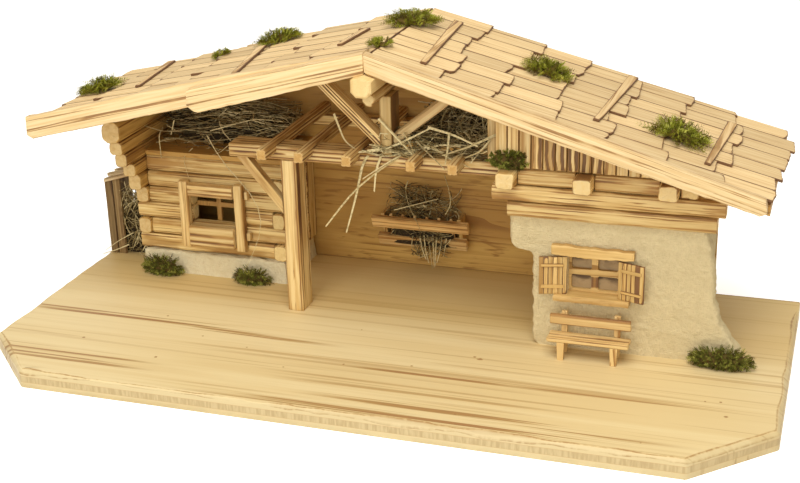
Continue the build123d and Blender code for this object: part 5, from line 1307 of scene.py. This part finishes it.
rack_long = [
    [(-26, 134, 122), (-30, 133, 112), (-24, 132, 92), (-15, 131, 76), (-12, 132, 66)],
    [(14, 134, 131), (19, 133, 116), (21, 133, 100), (14, 134, 88)],
    [(-44, 140, 86), (-14, 137, 97), (6, 136, 104)],
    [(-8, 141, 60), (-3, 134, 44), (0, 131, 27)], [(-2, 141, 60), (1, 134, 44), (2, 131, 28)],
    [(-16, 141, 58), (-12, 134, 47), (-7, 132, 36)], [(8, 141, 60), (8, 134, 47), (5, 131, 34)],
    [(-12, 141, 60), (-8, 133, 46), (-4, 131, 33)], [(13, 141, 58), (13, 134, 48), (12, 132, 41)],
    [(-24, 141, 58), (-24, 135, 50), (-22, 133, 44)], [(2, 141, 59), (3, 133, 45), (3, 131, 30)]]
rack_loose = [(120, (-46, 142, 74), (20, 156, 108), (18, 48), 0.7),
              (100, (-24, 134, 38), (14, 146, 60), (10, 20), 1.0),
              (50, (-44, 139, 56), (16, 143, 74), (14, 36), 0.5)]
hay_heap("rack_hay", 133, 120, rack_mound, length=(14, 40), lean=0, spread=0.9, width=(0.35, 0.75),
         tones=(0.36, 0.28), long=rack_long, core=0.4, tangles=rack_loose, cling=0.0, sink=0.5)
lean_long = [
    [(-330, 110, 96), (-346, 109, 66), (-356, 108, 40)], [(-322, 111, 84), (-329, 109, 52), (-344, 108, 22)],
    [(-338, 110, 60), (-334, 109, 36), (-316, 108, 21)], [(-318, 111, 64), (-322, 109, 40), (-330, 108, 24)],
    [(-346, 106, 30), (-360, 102, 24), (-374, 96, 20)], [(-340, 108, 44), (-358, 105, 34), (-374, 103, 22)]]
lean_loose = [(170, (-348, 107, 22), (-316, 122, 96), (20, 55), 1.0),
              (120, (-326, 108, 56), (-306, 126, 98), (14, 30), 1.0)]
hay_heap("lean_to_hay", 134, 200, corner_mound, length=(22, 60), lean=70, spread=0.9, width=(0.4, 0.8),
         tones=(0.5, 0.28), long=lean_long, core=0.92, tangles=lean_loose, cling=0.3, sink=0.5)

# Moss
# Dried and dyed cushion moss in tufts, glued on the roof, on a joist head and along the footings. Each tuft
# is a brown mat with many short stems, and each stem carries rows of small pointed leaves.
moss_dark = (0.13, 0.085, 0.02, 1)
moss_green = (0.28, 0.30, 0.025, 1)
moss_tip = (0.66, 0.66, 0.14, 1)
ground_dark = (0.11, 0.07, 0.02, 1)
ground_green = (0.11, 0.12, 0.014, 1)
ground_tip = (0.42, 0.40, 0.08, 1)


def frond_skin(stems, reach, tone, rng):
    """Feathery fronds: from every stem point two twigs go out to the sides, and each twig carries a leaf at
    its foot, two at its middle and one near its end. A leaf is a slim tetrahedron on base, left, right and
    tip, with tip = base + size * heading. Twigs shorten towards both ends of the stem by sin(pi * share)."""
    ahead = unit(np.gradient(stems, axis=1), length_guard)
    side = unit(np.cross(ahead, rng.normal(0, 1, (len(stems), 1, 3))), length_guard)
    up = np.cross(side, ahead)
    share = np.linspace(0.12, 0.97, stems.shape[1])[None, :, None]
    size = np.asarray(reach)[:, None, None] * (0.25 + np.sin(np.pi * share))
    bases, headings, sizes, shares = [], [], [], []
    for turn in (1, -1):
        twig = 0.65 * ahead + turn * 0.75 * side + 0.3 * up * rng.normal(0, 1, size.shape)
        for start, veer, scale in ((0.0, 0.0, 0.75), (0.45, 0.6, 0.6), (0.45, -0.6, 0.6), (0.75, 0.0, 0.6)):
            bases.append(stems + start * size * twig)
            headings.append(twig + veer * (0.7 * up + turn * 0.5 * ahead))
            sizes.append(size * scale)
            shares.append(np.broadcast_to(share, size.shape))
    base, heading, size, share = (np.concatenate(parts).reshape(-1, parts[0].shape[-1])
                                  for parts in (bases, headings, sizes, shares))
    heading = unit(heading)
    wide = unit(np.cross(heading, (0.31, 0.52, 0.79)))
    thick = np.cross(wide, heading)
    points = np.stack((base - 0.12 * size * thick, base + size * (0.35 * heading + 0.2 * wide),
                       base + size * (0.35 * heading - 0.2 * wide), base + size * heading), 1)
    ids = np.arange(len(base) * 4).reshape(-1, 4)
    tris = np.vstack([ids[:, corner] for corner in ((0, 2, 1), (0, 1, 3), (1, 2, 3), (2, 0, 3))])
    # Painted shade: leaves darken towards the foot of their stem, deep in the tuft, on top of each stem's own
    # tone.
    leaf_tone_and_shade = np.tile(np.repeat(np.asarray(tone), stems.shape[1]), 8)[:, None] * (0.45 + 0.55 * share)
    return {"points": points.reshape(-1, 3), "quads": np.zeros((0, 4), int), "tris": tris,
            "marks": {"tone": np.repeat(leaf_tone_and_shade, 4)}}


def moss_tuft(corners, rng, density, leaf, reach, box):
    """One tuft where its CAD solid lies: a low mat over the oval footprint, and sprigs that start inside the
    oval, lean outwards by their distance from the middle and curve over under their own weight."""
    length, _, normal = spread_directions(corners)
    normal = normal * np.sign(normal[2])
    basis = np.stack((length, np.cross(normal, length), normal))
    local = corners @ basis.T
    low, high = local.min(0), local.max(0)
    middle, half = (low + high) / 2, (high - low) / 2
    height = high[2] - low[2]
    count = int(density * half[0] * half[1])
    turn, out = rng.uniform(0, 2 * np.pi, count), np.sqrt(rng.uniform(0, 1, count))
    cosine, sine = np.cos(turn), np.sin(turn)
    foot = np.stack((middle[0] + 0.85 * half[0] * out * cosine, middle[1] + 0.85 * half[1] * out * sine,
                     low[2] + 0.3 * height * (1 - out ** 2)), 1)
    lean = np.stack((out * cosine, out * sine, 1.0 - 0.45 * out), 1)
    lean = unit(lean + rng.normal(0, 0.35, (count, 3)))
    size = reach * height * rng.uniform(0.5, 1.0, count) * (1.1 - 0.25 * out)
    t = np.linspace(0, 1, 7)[None, :, None]
    curl = 0.4 * out[:, None] * np.stack((cosine, sine, -0.7 + 0 * turn), 1)
    stems = foot[:, None] + size[:, None, None] * (t * lean[:, None] + t ** 2 * curl[:, None])
    stems[:, :, 2] = np.clip(stems[:, :, 2], low[2] + 0.5, high[2])
    tone = np.clip(rng.normal(0.6, 0.22, count) - 0.45 * (rng.uniform(0, 1, count) < 0.18), 0.05, 1)
    mat_low = np.append(middle[:2] - 0.75 * half[:2], low[2])
    mat_high = np.append(middle[:2] + 0.75 * half[:2], low[2] + 0.4 * height)

    def mat_top(x, y):
        far = np.hypot((x - middle[0]) / half[0], (y - middle[1]) / half[1])
        return low[2] + 0.45 * height * np.clip(1 - far ** 2, 0.05, 1) * (1 + 0.3 * noise(x / 3, y / 3, 91))

    skins = [heap_core(mat_low, mat_high, mat_top, 1.0), stalk_skin(stems, np.full(count, 0.25), 0.2 * tone),
             frond_skin(stems, leaf * rng.uniform(0.8, 1.3, count), tone, rng)]
    for skin in skins:
        skin["points"] = np.clip(skin["points"] @ basis, *box)
    return skins


moss_look = dict(fineness=160, mottle=0.2, stops=(0.45, 0.4, 0.95), rough=0.65, shine=0.1, relief=0.0004)
dry_moss = strewn_finish("dry_roof_moss", moss_dark, moss_green, moss_tip, **moss_look)
shade_moss = strewn_finish("dark_ground_moss", ground_dark, ground_green, ground_tip, **moss_look)
moss_box = [np.array(corner) / MM for corner in cad_box]
for node, finish, seed, density, leaf, reach in (
        ("roof_moss", dry_moss, 141, 0.42, 2.8, 1.3), ("beam_moss", shade_moss, 142, 0.7, 2.4, 0.3),
        ("ground_moss", shade_moss, 143, 1.3, 1.7, 0.5)):
    rng = np.random.default_rng(seed)
    tufts = [moss_tuft(corners, rng, density, leaf, reach, moss_box) for corners in node_solids(node)]
    tufts = [skin for tuft in tufts for skin in tuft]
    make_piece(node + "_sprigs", tufts, finish, "moss", node, sharp=80)

# Floor, light and camera
# A plain pale table top without an edge in sight, in a room of soft warm light, with one soft box above and
# one in front. The camera stands and is turned as in the photograph.
table_half = 6
table_pale = (0.9, 0.9, 0.9, 1)
white = (1, 1, 1, 1)
warm_room = (1.0, 0.91, 0.70, 1)
sensor_width = 36
photo_width = 800
focal_pixels = 1400.77
azimuth, elevation, roll = (math.radians(v) for v in (18.72, 21.40, -1.59))
stand = Vector((0.40767, -1.17664, 0.59533))


def straight_ray(tree):
    """1 where the camera looks, straight, in a gloss or through glass, and 0 for light between surfaces."""
    seen = add(tree, "LightPath", {}).outputs
    mirrored = maths("MAXIMUM", seen["Is Camera Ray"], seen["Is Glossy Ray"])
    return maths("MAXIMUM", mirrored, seen["Is Transmission Ray"])


floor_mesh = bpy.data.meshes.new("table_top")
ends = [(x * table_half, y * table_half, 0) for x, y in ((-1, -1), (1, -1), (1, 1), (-1, 1))]
floor_mesh.from_pydata(ends, [], [(0, 1, 2, 3)])
floor = new_object("table_top", floor_mesh)
floor_finish, tree, shader = new_finish("pale_table")
feed(shader, {"Base Color": table_pale, "Roughness": 0.9, "Emission Color": white,
              "Emission Strength": between(straight_ray(tree), 0.0, 1.0, 0.0, 0.6)})
floor_mesh.materials.append(floor_finish)

world = bpy.data.worlds.new("soft_room")
bpy.context.scene.world = world
world.use_nodes = True
tree = world.node_tree
straight = straight_ray(tree)
feed(tree.nodes["Background"], {"Strength": between(straight, 0.0, 1.0, 0.5, 1.0),
                                "Color": blend(straight, warm_room, white)})


def softbox(name, place, target, size, power):
    """A square area lamp at a place, turned to a target."""
    lamp = bpy.data.lights.new(name, "AREA")
    lamp.size = size
    lamp.energy = power
    turn = (Vector(target) - Vector(place)).to_track_quat("-Z", "Y")
    new_object(name, lamp).matrix_world = Matrix.Translation(place) @ turn.to_matrix().to_4x4()


softbox("softbox_above", place=(0.2, -0.8, 2.0), target=(0, 0, 0.1), size=1.4, power=33)
softbox("softbox_front", place=(0.0, -2.0, 0.75), target=(0, 0, 0.1), size=1.4, power=15)

camera_data = bpy.data.cameras.new("photo_camera")
camera_data.sensor_width = sensor_width
camera_data.lens = focal_pixels / photo_width * sensor_width
camera = new_object("photo_camera", camera_data)
bpy.context.scene.camera = camera
level_share = math.cos(elevation)
away = Vector((math.sin(azimuth) * level_share, -math.cos(azimuth) * level_share, math.sin(elevation)))
level = away.cross(Vector((0, 0, -1))).normalized()
above = level.cross(-away)
right = math.cos(roll) * level + math.sin(roll) * above
upward = math.cos(roll) * above - math.sin(roll) * level
camera.matrix_world = Matrix.Translation(stand) @ Matrix((right, upward, away)).transposed().to_4x4()

bpy.context.scene.view_settings.view_transform = "Standard"
